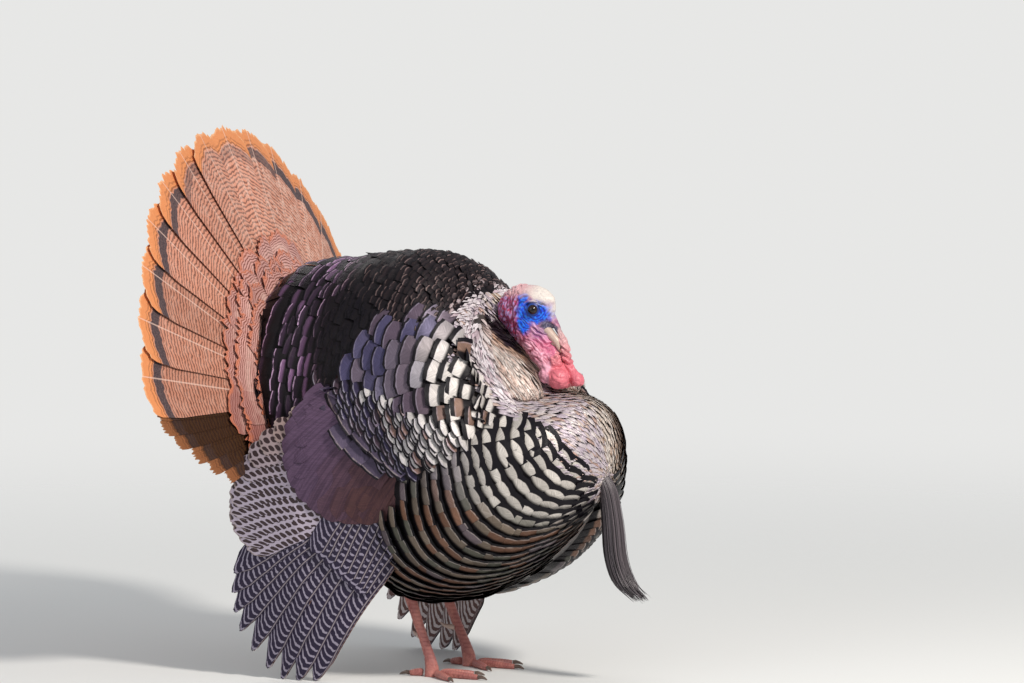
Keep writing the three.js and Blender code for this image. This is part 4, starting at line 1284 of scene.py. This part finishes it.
def secondaries(coat, side):
    """The pale fan with dark lozenges between the plain panel and the primaries."""
    share = (np.arange(SECONDARY_COUNT) + 0.3) / SECONDARY_COUNT
    roots, tips = curve(SECONDARY_ROOTS, share), curve(SECONDARY_TIPS, share)
    line, norms = wing_lines(roots, tips, mix(4.0, 8.0, share), 10, 0.05)
    tint = blend([0.5, 0.43, 0.52], [0.4, 0.29, 0.25], smooth(0.45, 0.05, share))
    coat.add(side, line, norms, mix(40, 62, share), BROAD, vane_rows(26), cols=15, round_tip=0.12,
             camber=0.05, roll=-0.05, ragged=1.2, tint=tint,
             own_patch=patch_grid(SECONDARY_COUNT, side.mirror, 2))


def primaries(coat, side):
    """Barred quills in three layers: the vanes, the short coverts over their roots, and the
    browner vanes of the wing's inner side."""
    share = (np.arange(PRIMARY_COUNT) + 0.5) / PRIMARY_COUNT
    roots, tips = curve(PRIMARY_ROOTS, share), curve(PRIMARY_TIPS, share)
    for inside, tint, pale in ((0, (0.02, 0.013, 0.04), (0.29, 0.255, 0.36)),
                               (1, (0.2, 0.105, 0.09), (1.0, 0.88, 0.83))):
        line, norms = wing_lines(roots, tips, mix(10, 16, share) + 5 * inside, 14, 0.05)
        coat.add(side, line, norms, mix(52, 48, share), QUILL, vane_rows(40), cols=17, round_tip=0.06,
                 camber=0.05, roll=-0.07, ragged=1.0, tint=tint, shine=pale, shaft=-0.86,
                 band=0.25 * inside, own_patch=patch_grid(PRIMARY_COUNT, side.mirror + 2 * inside, 6))
    roots, tips = curve(SHORT_ROOTS, share), curve(SHORT_TIPS, share)
    line, norms = wing_lines(roots, tips, mix(4, 9, share), 8, 0.03)
    coat.add(side, line, norms, 34, SLAB, vane_rows(22), cols=13, round_tip=0.14, camber=0.06,
             roll=-0.06, ragged=0.8, tint=(0.018, 0.012, 0.036), shine=(0.22, 0.19, 0.3),
             shaft=-0.8, own_patch=patch_grid(PRIMARY_COUNT, 4 + side.mirror, 6))


def wings(feather):
    shoulder, small, panel, inner, outer = (Coat() for _ in range(5))
    for side in both(71):
        scapulars(shoulder, side)
        lesser_coverts(small, side)
        strip_row(small, side)
        greater_coverts(panel, side)
        secondaries(inner, side)
        primaries(outer, side)
    shoulder.build("scapulars", feather, "wing_covert_feathers")
    small.build("lesser_coverts", feather, "wing_covert_feathers")
    for coat, name, material, slot, node in (
        (panel, "greater_coverts", feather, "wing_covert_feathers", "wing_coverts"),
        (inner, "secondaries", lattice_feather(), "flight_feathers", "wing_secondaries"),
        (outer, "primaries", barred_feather(), "flight_feathers", "wing_primaries"),
    ):
        coat.build(name, material, slot, f"{node}_right", f"{node}_left")


# ---------------------------------------------------------------- skin: closed forms

HEAD_VOXEL, BODY_VOXEL, LEG_VOXEL = 0.95, 7, 1.3


def loft(rings):
    """A closed form through rings of points (r, n, 3), capped at both ends."""
    rings = np.asarray(rings, float)
    r, n, _ = rings.shape
    i, j = np.indices((r - 1, n))
    a, b = i * n + j, i * n + (j + 1) % n
    walls = np.stack([a, b, b + n, a, b + n, a + n], -1).reshape(-1, 3)
    ring = np.arange(n)
    low = np.stack([np.roll(ring, -1), ring, np.full(n, r * n)], 1)
    high = np.stack([ring + (r - 1) * n, np.roll(ring, -1) + (r - 1) * n, np.full(n, r * n + 1)], 1)
    points = np.concatenate([rings.reshape(-1, 3), rings[:1].mean(1), rings[-1:].mean(1)])
    return points, np.concatenate([walls, low, high])


def tube(path, sizes, steps=40, around=24):
    """A limb along a smooth path; sizes are (place, half width, half depth)."""
    share = np.linspace(0, 1, steps)
    line = curve(path, share)
    way = unit(np.gradient(line, axis=0))
    across = unit(np.cross(way, np.where(np.abs(way[:, :1]) > 0.9, [0, 1.0, 0], [1.0, 0, 0])))
    places, wides, deeps = zip(*sizes)
    wide, deep = (np.interp(share, places, widths)[:, None, None] for widths in (wides, deeps))
    turn = np.linspace(0, FULL_TURN, around, endpoint=False)[None, :, None]
    outward = np.cross(across, way)[:, None] * wide * np.cos(turn)
    return loft(line[:, None] + outward + across[:, None] * deep * np.sin(turn))


def ball(centre, radii, around=32):
    turn = np.linspace(0, FULL_TURN, around, endpoint=False)
    rise = (np.linspace(-0.47, 0.47, around // 2) * math.pi)[:, None, None]
    ring = np.stack([np.cos(turn), np.sin(turn), 0 * turn], 1)
    return loft((ring * np.cos(rise) + [0, 0, 1] * np.sin(rise)) * radii + centre)


def hoop(centre, axis, radii, thick, around=48, section=12):
    """A ring of round section about an axis; radii along its own level and its upright."""
    level = unit(np.cross(axis, [0, 0, 1]))
    upright = np.cross(level, axis)
    i, j = np.indices((around, section))
    a, b = i[..., None] * FULL_TURN / around, j[..., None] * FULL_TURN / section
    out = level * np.cos(a) + upright * np.sin(a)
    big = level * radii[0] * np.cos(a) + upright * radii[1] * np.sin(a)
    points = centre + big + thick * (out * np.cos(b) + axis * np.sin(b))
    corner = lambda p, q: (p % around) * section + q % section
    quads = np.stack([corner(i, j), corner(i + 1, j), corner(i + 1, j + 1), corner(i, j + 1)], -1)
    return points.reshape(-1, 3), halved(quads.reshape(-1, 4))


def halved(quads):
    return np.concatenate([quads[:, [0, 1, 2]], quads[:, [0, 2, 3]]])


def joined(parts):
    """Points and faces of several parts in one, then what else they have at their points."""
    starts = np.cumsum([0] + [len(part[0]) for part in parts])
    points, faces, *rest = zip(*parts)
    faces = [face + start for face, start in zip(faces, starts)]
    return [np.concatenate(column) for column in (points, faces, *rest)]


def melted(forms, voxel, settle):
    """One closed skin round several forms: points and quads."""
    mesh = make_mesh("forms", *joined(forms))
    holder = bpy.data.objects.new("forms", mesh)
    bpy.context.scene.collection.objects.link(holder)
    change = holder.modifiers.new("melt", "REMESH")
    change.mode = "VOXEL"
    change.voxel_size = voxel
    holder.modifiers.new("ease", "SMOOTH").iterations = settle
    done = holder.evaluated_get(bpy.context.evaluated_depsgraph_get()).to_mesh()
    corners = np.zeros(len(done.vertices) * 3, np.float32)
    done.vertices.foreach_get("co", corners)
    quads = np.zeros(len(done.loops), np.int32)
    done.loops.foreach_get("vertex_index", quads)
    bpy.data.objects.remove(holder)
    bpy.data.meshes.remove(mesh)
    return corners.reshape(-1, 3).astype(float), quads.reshape(-1, 4)


def guide():
    """One smooth outside round the trunk, the neck's lobes and the wings' coverts."""
    names = ("trunk", "ruff_right", "ruff_left", "wing_coverts_right", "wing_coverts_left")
    shapes = [Surface.of(name) for name in names]
    points, quads = melted([(shape.points, shape.faces) for shape in shapes], BODY_VOXEL, 8)
    return Surface(points, halved(quads))


# ---------------------------------------------------------------- skin: the head

# Up the head: height, back, front, half width, share of the width kept at the front.
HEAD = (
    (474, -206, -236, 14, 0.9),
    (482, -205, -240, 24, 0.9),
    (500, -192, -236, 26, 0.85),
    (520, -172, -222, 26, 0.72),
    (540, -153, -210, 27, 0.66),
    (560, -130, -206, 28, 0.62),
    (580, -112, -208, 29.5, 0.66),
    (600, -110, -212, 28, 0.72),
    (616, -119, -210, 24.5, 0.78),
    (627, -133, -198, 17, 0.84),
    (633, -148, -182, 6, 1),
)
SNOOD_PATH = ((0, -196, 606), (1, -202, 590), (3, -208, 577), (4, -218, 560), (5, -226.5, 541),
              (5, -231, 519), (5, -240, 500), (5, -250, 487), (5, -253, 477))
SNOOD_SIZES = ((0, 9, 6), (0.2, 9, 6), (0.4, 7, 6), (0.6, 6.2, 6), (0.72, 7, 7), (0.88, 12, 11.5),
               (0.97, 9, 9), (1, 3, 3))
THROAT_LOBES = (
    ((15, -226, 490), (17, 19, 17)),
    ((18, -207, 495), (13, 13, 14)),
    ((10, -217, 514), (12, 12, 13)),
)
EYE = np.array([25.5, -186, 598.5])
EYE_RADIUS = 8.35
EYE_AXIS = unit([0.86, -0.49, 0.06])
LID_OUT, LID_RADII, LID_THICK = 1.6, (8.2, 7.4), 1.9
BROW_PATH = ((-3, 15, 5), (0.2, 6, 10.5), (-2.4, -4, 10.5), (-9, -12, 6))
BROW_SIZES = ((0, 1.5, 2), (0.4, 3, 4), (0.7, 2.6, 3.4), (1, 1.2, 1.6))
FACE_COS, FACE_SIN = 0.607, 0.796  # the throat's way down and back, in the face's marks
RIDGE_PERIOD, SWIRL_PERIOD = 7.5, 5.5


def head_forms():
    levels, *widths = np.transpose(HEAD)
    heights = np.linspace(levels[0], levels[-1], 60)
    back, front, half, nose = (np.interp(heights, levels, width)[:, None] for width in widths)
    turn = np.linspace(0, FULL_TURN, 64, endpoint=False)
    ahead = 0.5 + 0.5 * np.cos(turn)
    keep = mix(1, nose, np.maximum(0, np.cos(turn)) ** 1.5)
    rings = np.stack([half * keep * np.sin(turn), mix(back, front, ahead), heights[:, None] + 0 * ahead], 2)
    forms = [loft(rings), tube(SNOOD_PATH, SNOOD_SIZES, 60)]
    for s in SIDES.values():
        flip = np.array([s, 1, 1])
        forms += [ball(flip * centre, radii) for centre, radii in THROAT_LOBES]
        forms.append(hoop(flip * (EYE + EYE_AXIS * LID_OUT), flip * EYE_AXIS, LID_RADII, LID_THICK))
        forms.append(tube(flip * (EYE + BROW_PATH), BROW_SIZES))
    return forms


def folded(points):
    """Both sides laid on one, so that patterns match."""
    return np.column_stack([np.abs(points[:, 0]), points[:, 1:]])


def face_marks(points):
    """Where things lie on the head's side: millimetres forward of the eye and above it."""
    return EYE[1] - points[:, 1], points[:, 2] - EYE[2]


def patch(f, u, centre, radii, soft=0.25, turn=0.0):
    """1 inside an ellipse of the head's side, 0 outside."""
    c, s = math.cos(math.radians(turn)), math.sin(math.radians(turn))
    a, b = f - centre[0], u - centre[1]
    reach = np.hypot((a * c + b * s) / radii[0], (b * c - a * s) / radii[1])
    return smooth(1 + soft, 1 - soft, reach)


def head_masks(points):
    """Where each kind of skin lies; down is the way from the face toward the throat."""
    f, u = face_marks(points)
    f, u = f + 2.5 * drift(points, 9, 3.0), u + 2.0 * drift(points, 8, 11.0)
    down = (f + 6) * FACE_COS + (u + 21) * FACE_SIN
    face, temple = patch(f, u, (-1, -5), (27, 19)), patch(f, u, (-20, 16), (7, 15), 0.3, -12)
    crown = smooth(4, 16, u - 10 * smooth(10, -14, f) + 10 * smooth(16, 40, f))
    return SimpleNamespace(
        down=down,
        blue=np.maximum.reduce([face, temple, patch(f, u, (-17, -27), (9, 14), 0.3, 20)]),
        crown=np.maximum(crown, smooth(16, 27, f) * smooth(-26, 0, u)),
        nape=smooth(-22, -30, f),
        red=smooth(-10, -20, down) * smooth(-34, -16, f),
        lore=patch(f, u, (24, -33), (19, 9), 0.25, -40),
        ridge=smooth(-26, -18, down) * smooth(5, 0, down) * smooth(-8, 4, f) * smooth(60, 50, f),
        snood=smooth(28, 34, f) * smooth(-20, -40, u))


def head_paint(points, lump):
    """Colours of the bare skin, with painted shade in the folds between its lumps and painted highlights on
    the throat's lumps and the ridges.
    """
    m = head_masks(points)
    f, u = face_marks(points)
    pick, fine = drift(points, 4.5, 7.0), drift(points, 2.2, 9.0)
    colour = blend([0.3, 0.1, 0.22], [0.52, 0.2, 0.3], smooth(-0.4, 0.4, pick))
    worm = blend([0.6, 0.07, 0.17], [0.64, 0.4, 0.72], smooth(-0.15, 0.3, pick))
    worm = blend(worm, [0.34, 0.24, 0.6], 0.6 * smooth(0.1, 0.5, fine))
    worm = blend(worm, [0.8, 0.42, 0.45], 0.7 * smooth(12, 26, u))
    # Painted shade: dark red in the creases between the nape's worms.
    worm = blend([0.2, 0.008, 0.04], worm, lump)
    # The throat: dark red in its folds as painted shade, pale pink on its lumps as painted highlight.
    throat = blend([0.38, 0.03, 0.08], [0.97, 0.48, 0.62], lump)
    throat = blend(throat, [0.5, 0.08, 0.2], 0.7 * smooth(-60, -36, u))
    cobalt = blend([0.002, 0.075, 0.86], [0.01, 0.23, 1.0], smooth(-0.3, 0.5, pick + fine))
    # Painted shade: deep blue in the face's creases.
    cobalt = blend([0.006, 0.012, 0.2], cobalt, 0.1 + 0.9 * smooth(0.15, 0.65, lump))
    # The ridges: pale lilac tops as painted highlight, dark purple troughs as painted shade.
    ridges = 0.5 + 0.5 * np.cos(m.down * FULL_TURN / RIDGE_PERIOD)
    lilac = blend([0.14, 0.04, 0.19], [0.8, 0.42, 0.62], ridges)
    lilac = blend(lilac, [0.75, 0.16, 0.26], 0.7 * smooth(-35, -58, u))
    grey = blend([0.05, 0.045, 0.09], [0.18, 0.16, 0.24], smooth(-0.3, 0.5, fine))
    ivory = blend([0.8, 0.72, 0.66], [0.68, 0.33, 0.37], smooth(4, -30, f) * 0.85)
    ivory = blend(ivory, [0.5, 0.4, 0.45], 0.35 * smooth(0.35, 0.6, fine))
    ivory = blend(ivory, [0.75, 0.42, 0.5], 0.7 * smooth(-5, -22, u) * smooth(10, 24, f))
    hang = blend([0.8, 0.5, 0.5], [0.8, 0.19, 0.24], smooth(-30, -92, u))
    # Painted shade: the snood darkens in its folds.
    hang = blend(hang * 0.5, hang, 0.3 + 0.7 * lump)
    lid = 0.85 * smooth(12.2, 10.4, np.linalg.norm(folded(points) - EYE, axis=1))
    for over, mask in ((worm, m.nape), (throat, m.red), (cobalt, m.blue), (lilac, m.ridge), (grey, m.lore),
                       (ivory, m.crown), (hang, m.snood), ([0.012, 0.035, 0.2], lid)):
        colour = blend(colour, over, mask)
    return colour


def head_relief(points):
    """How far the folds, worms and pebbles rise, their lumps, and the crease over the eye; lumps and crease
    also place painted shade.
    """
    m = head_masks(points)
    f, u = face_marks(points)
    one = folded(points)
    worms = billow(np.stack([0.9 * one[:, 0], f - 0.25 * u, 0.4 * u + 0.1 * f], 1), 6.6, 5.0)
    beside, along = f * FACE_SIN - u * FACE_COS, f * FACE_COS + u * FACE_SIN
    slanted = np.stack([one[:, 0], 0.55 * beside, along], 1)
    lumps, big = billow(slanted, 5.2, 8.0), billow(slanted, 10.0, 2.0)
    rings = np.hypot(f, u * 1.15) * FULL_TURN / SWIRL_PERIOD
    swirl = 0.5 + 0.5 * np.sin(rings + 5.0 * drift(points, 13, 4.0))
    swirl = mix(swirl, billow(one, 6.0, 3.0), 0.4)
    clear = smooth(11.5, 15, np.linalg.norm(one - EYE, axis=1))
    low = smooth(-76, -90, u)
    height = m.nape * (2.4 * worms - 0.9)
    height += m.red * (mix(1.9, 0.45, low) * lumps + mix(1.6, 1.3, low) * big - 1.5)
    height += clear * m.blue * (swirl - 0.4) * (1 - m.nape)
    height += m.ridge * 2.0 * np.cos(m.down * FULL_TURN / RIDGE_PERIOD + 0.8 * drift(points, 14))
    height += m.crown * (1 - m.blue) * 0.35 * (billow(one, 2.2, 1.0) - 0.4)
    height += m.snood * mix(1.2, 0.3, low) * (billow(one * [1, 1, 0.6], 4.2, 6.0) - 0.4) - m.lore * 2.0
    fold = np.exp(-((np.hypot(f - 2, (u + 3) * 1.15) - 16.5) / 1.5) ** 2)
    crease = fold * smooth(4, 9, u) * smooth(24, 14, f)
    pebbles = mix(np.clip(0.6 * lumps + 0.5 * big, 0, 1), 0.75 + 0.25 * big, low)
    lump = np.select([m.snood > 0.5, m.ridge > 0.5, m.red > 0.5, m.nape > 0.5],
                     [mix(lumps, 0.8, low), 0.5 + 0.5 * big, pebbles, worms], swirl)
    return height - 1.6 * crease, lump, crease


def head_skin():
    points, quads = melted(head_forms(), HEAD_VOXEL, 3)
    height, lump, crease = head_relief(points)
    points = points + normals_of(points, quads) * height[:, None]
    # Painted shade: the skin darkens in the crease over the eye.
    return points, quads, head_paint(points, lump) * (1 - 0.75 * crease)[:, None]


# ---------------------------------------------------------------- skin: body and legs

SKIN_DEPTHS = {"trunk": 7, "ruff_right": 5, "ruff_left": 5, "thigh_right": 4, "thigh_left": 4, "undertail": 5}
LEG_X = 70
FOOT_Y = {"right": -28, "left": -12}
TOES = ("toe_inner", "toe_middle", "toe_outer", "toe_hind")
SCUTE, TOE_SCUTE = 6.4, 4.6  # heights of the shank's plates and lengths of the toes' ones


def body_skin():
    """The body under the coat, inside the solids by the coat's depth."""
    shapes = [(Surface.of(name), depth) for name, depth in SKIN_DEPTHS.items()]
    forms = [(shape.points - shape.normals * depth, shape.faces) for shape, depth in shapes]
    points, quads = melted(forms, BODY_VOXEL, 2)
    tone = smooth(-0.5, 0.5, drift(points, 30))
    return points, quads, blend([0.03, 0.022, 0.022], [0.07, 0.05, 0.042], tone)


def leg_skin(side):
    """Bare shank and foot, plated with scutes in front and along the toes."""
    shape = Surface.of(*(f"{part}_{side}" for part in ("shank", *TOES)))
    points, quads = melted([(shape.points, shape.faces)], LEG_VOXEL, 3)
    normals = normals_of(points, quads)
    s = SIDES[side]
    reach = np.hypot(points[:, 0] - s * LEG_X, points[:, 1] - FOOT_Y[side])
    shank = smooth(30, 38, points[:, 2])
    front = smooth(0.2, -0.3, normals[:, 1])
    row = points[:, 2] / SCUTE + 0.25 * np.sign(points[:, 0] - s * (LEG_X + 1))
    plates = np.abs(np.sin(math.pi * row)) ** 0.35
    net = billow(points * [1, 1, 0.8], 3.2, 2.0) ** 0.6
    toes = np.abs(np.sin(math.pi * reach / TOE_SCUTE)) ** 0.35
    lift = mix(mix(net, plates, front), mix(net, toes, smooth(-0.1, 0.4, normals[:, 2])), 1 - shank)
    level = smooth(GROUND + 0.6, GROUND + 3, points[:, 2])
    points = points + normals * ((lift - 1) * 0.7 * level)[:, None]
    rosy = blend([0.33, 0.085, 0.07], [0.62, 0.24, 0.2], lift)
    return points, quads, blend(rosy, rosy * [0.8, 0.75, 0.8], smooth(-0.5, 0.5, drift(points, 14, 3.0)))


def skin():
    points, quads, paint = joined([head_skin(), body_skin(), leg_skin("right"), leg_skin("left")])
    mesh = make_mesh("skin", metres(points), quads, bare_skin(), paint=paint)
    middle = ("trunk", "head", "neck", "throat_lobes", "snood", "undertail")
    pairs = [f"{part}_{side}" for part in ("ruff", "thigh", "shank", *TOES) for side in SIDES]
    add_piece("skin", mesh, "head_skin", *middle, *pairs)


# ---------------------------------------------------------------- eyes, horn and beard

BILL = {
    "upper": (((-1, -196, 566), (-1, -207, 556), (-1, -216, 546), (-1, -220, 534)),
              ((0, 9, 8), (0.3, 7.4, 7), (0.65, 6, 6), (0.9, 3, 3.4), (1, 0.8, 0.8))),
    "lower": (((0, -190, 560), (0, -203, 549), (-1, -212, 538)),
              ((0, 6, 7), (0.6, 4.4, 5.5), (0.95, 2, 2.4), (1, 0.8, 0.8))),
}
BEARD = ((2, -286, 356), (3, -306, 318), (4, -315, 268), (4, -321, 212), (4, -337, 172), (4, -366, 148))
BRISTLES = 560


def eyes():
    """Two balls a little smaller than the solids' eyes."""
    material = eye_gloss()
    for side, s in SIDES.items():
        points, faces = ball((0, 0, 0), np.full(3, EYE_RADIUS), 48)
        axis = EYE_AXIS * [s, 1, 1]
        level = unit(np.cross(axis, [0, 0, 1]))
        turn = np.arccos(np.clip(unit(points) @ axis, -1, 1))
        spoke = np.arctan2(points @ np.cross(level, axis), points @ level)
        places = metres(points + EYE * [s, 1, 1])
        mesh = make_mesh(f"eyeball_{side}", places, faces, material, turn=turn, spoke=spoke)
        add_piece(f"eyeball_{side}", mesh, "eye", f"eye_{side}")


def bill():
    """The bill's two halves, curved cones half sunk in the face, and the spurs' horn."""
    material = grained("horn", 140.0, (0.5, 0.36, 0.3), (0.66, 0.5, 0.42), 0.35)
    for half, (path, sizes) in BILL.items():
        points, faces = tube(path, sizes, 40, 28)
        mesh = make_mesh(f"horn_{half}", metres(points), faces, material)
        add_piece(f"horn_{half}", mesh, "horn", f"bill_{half}")
    paint_nodes(material, "spur_right", "spur_left")


def claws():
    names = [f"claw_{toe}_{side}" for toe in ("inner", "middle", "outer", "hind") for side in SIDES]
    paint_nodes(grained("claw", 120.0, (0.06, 0.04, 0.035), (0.2, 0.13, 0.1), 0.4), *names)


def paint_nodes(material, *names):
    for name in names:
        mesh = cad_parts[name].data
        mesh.materials.clear()
        mesh.materials.append(material)


def beard():
    """A hank of coarse bristles hanging from the breast."""
    side, coat = Side(81), Coat()
    rng = side.rng
    share = np.linspace(0, 1, 18)
    spread = np.interp(share, [0, 0.15, 0.5, 0.8, 1], [9, 15, 19, 19, 14])[:, None]
    turn = rng.uniform(0, FULL_TURN, BRISTLES)
    reach = np.sqrt(rng.random(BRISTLES))[:, None]
    offset = (np.stack([np.cos(turn), np.sin(turn), 0 * turn], 1) * reach)[:, None]
    sway = rng.normal(0, 1, (BRISTLES, 1, 3)) * (share[:, None] ** 1.5) * 2.2
    line = curve(BEARD, share) + offset * spread + sway
    line = read(line, rng.uniform(0.8, 1.02, (BRISTLES, 1)) * share)
    norms = np.broadcast_to(unit(offset + [0.001, 0, 0]), line.shape)
    tint = mix([0.03, 0.024, 0.028], [0.16, 0.13, 0.145], rng.random((BRISTLES, 1)) ** 1.8)
    coat.add(side, line, norms, rng.uniform(1.1, 2.0, BRISTLES), BRISTLE, share, cols=3, round_tip=0,
             camber=0.9, tint=tint)
    coat.build("beard_bristles", bristle(), "beard_bristle", "beard")


# ---------------------------------------------------------------- camera, light and floor

PALE = (0.8, 0.8, 0.79)
VIEW_AZIMUTH, VIEW_ELEVATION = math.radians(31), math.radians(7)
VIEW_DISTANCE, VIEW_WIDTH = 50.0, 1.618  # far off with a long lens, as the photo was taken
VIEW_RIGHT, VIEW_UP = 0.1138, 0.5293  # the picture's middle from the foot of the bird's middle
SENSOR = 36
FLOOR_HALF = 30
LAMPS = {  # place, size, power, colour
    "key": ((-1.1, -3.3, 3.2), 0.8, 175, (1, 0.95, 0.88)),
    "fill": ((-4.2, 0.6, 1.8), 3.0, 26, (0.93, 0.96, 1)),
    "back": ((2.6, 3.2, 3.4), 2.5, 50, (1, 0.98, 0.95)),
}


def stand(name, data, place, way):
    """An object at a place that looks along a way."""
    holder = bpy.data.objects.new(name, data)
    holder.location = place
    holder.rotation_euler = Vector(way).to_track_quat("-Z", "Y").to_euler()
    bpy.context.scene.collection.objects.link(holder)
    return holder


def camera():
    """The photo's view: from the bird's right, ahead of it and a little above."""
    level = np.array([-math.cos(VIEW_AZIMUTH), -math.sin(VIEW_AZIMUTH), 0])
    right = np.cross([0, 0, 1], level)
    back = level * math.cos(VIEW_ELEVATION) + [0, 0, math.sin(VIEW_ELEVATION)]
    target = metres([0, 0, 0]) + VIEW_RIGHT * right + VIEW_UP * np.cross(back, right)
    lens = bpy.data.cameras.new("camera")
    lens.sensor_width = SENSOR
    lens.lens = SENSOR * VIEW_DISTANCE / VIEW_WIDTH
    lens.clip_end = 4 * VIEW_DISTANCE
    bpy.context.scene.camera = stand("camera", lens, target + VIEW_DISTANCE * back, -back)


def lay_floor():
    corners = np.array([(-1, -1, 0), (1, -1, 0), (1, 1, 0), (-1, 1, 0)]) * FLOOR_HALF
    mesh = make_mesh("floor", corners, np.array([(0, 1, 2, 3)]), floor_paint())
    floor = bpy.data.objects.new("floor", mesh)
    bpy.context.scene.collection.objects.link(floor)


def backdrop():
    """A soft blue-white light all round, seen as the plain pale backdrop."""
    world = bpy.data.worlds.new("world")
    bpy.context.scene.world = world
    world.use_nodes = True
    w = Nodes(world.node_tree)
    light = w.get("Background", {"Color": (0.9, 0.95, 1), "Strength": 0.4})
    seen = w.get("Background", {"Color": PALE, "Strength": 1.0})
    ray = w.get("LightPath", output="Is Camera Ray")
    w.add("OutputWorld", {"Surface": w.get("MixShader", {0: ray, 1: light, 2: seen})})


def lamps():
    for name, (place, size, power, tone) in LAMPS.items():
        lamp = bpy.data.lights.new(name, "AREA")
        lamp.shape = "DISK"
        lamp.size, lamp.energy, lamp.color = size, power, tone
        stand(name, lamp, place, np.array([0, 0, 0.4]) - place)


# ---------------------------------------------------------------- the bird

GUIDE = guide()
camera()
lay_floor()
backdrop()
lamps()
bpy.context.scene.view_settings.view_transform = "Standard"

TAIL_SIDE = Side(11)
rectrices(TAIL_SIDE)
tail_coverts(TAIL_SIDE)
FEATHER = body_feather()
for grow, piece_name in ((breast, "breast_feathers"), (back, "back_feathers"), (undercoat, "under_feathers"),
                         (ruff, "ruff_feathers"), (upper_breast, "crop_feathers")):
    feathers = Coat()
    grow(feathers)
    feathers.build(piece_name, FEATHER, "breast_feathers")
wings(FEATHER)
skin()
eyes()
beard()
bill()
claws()
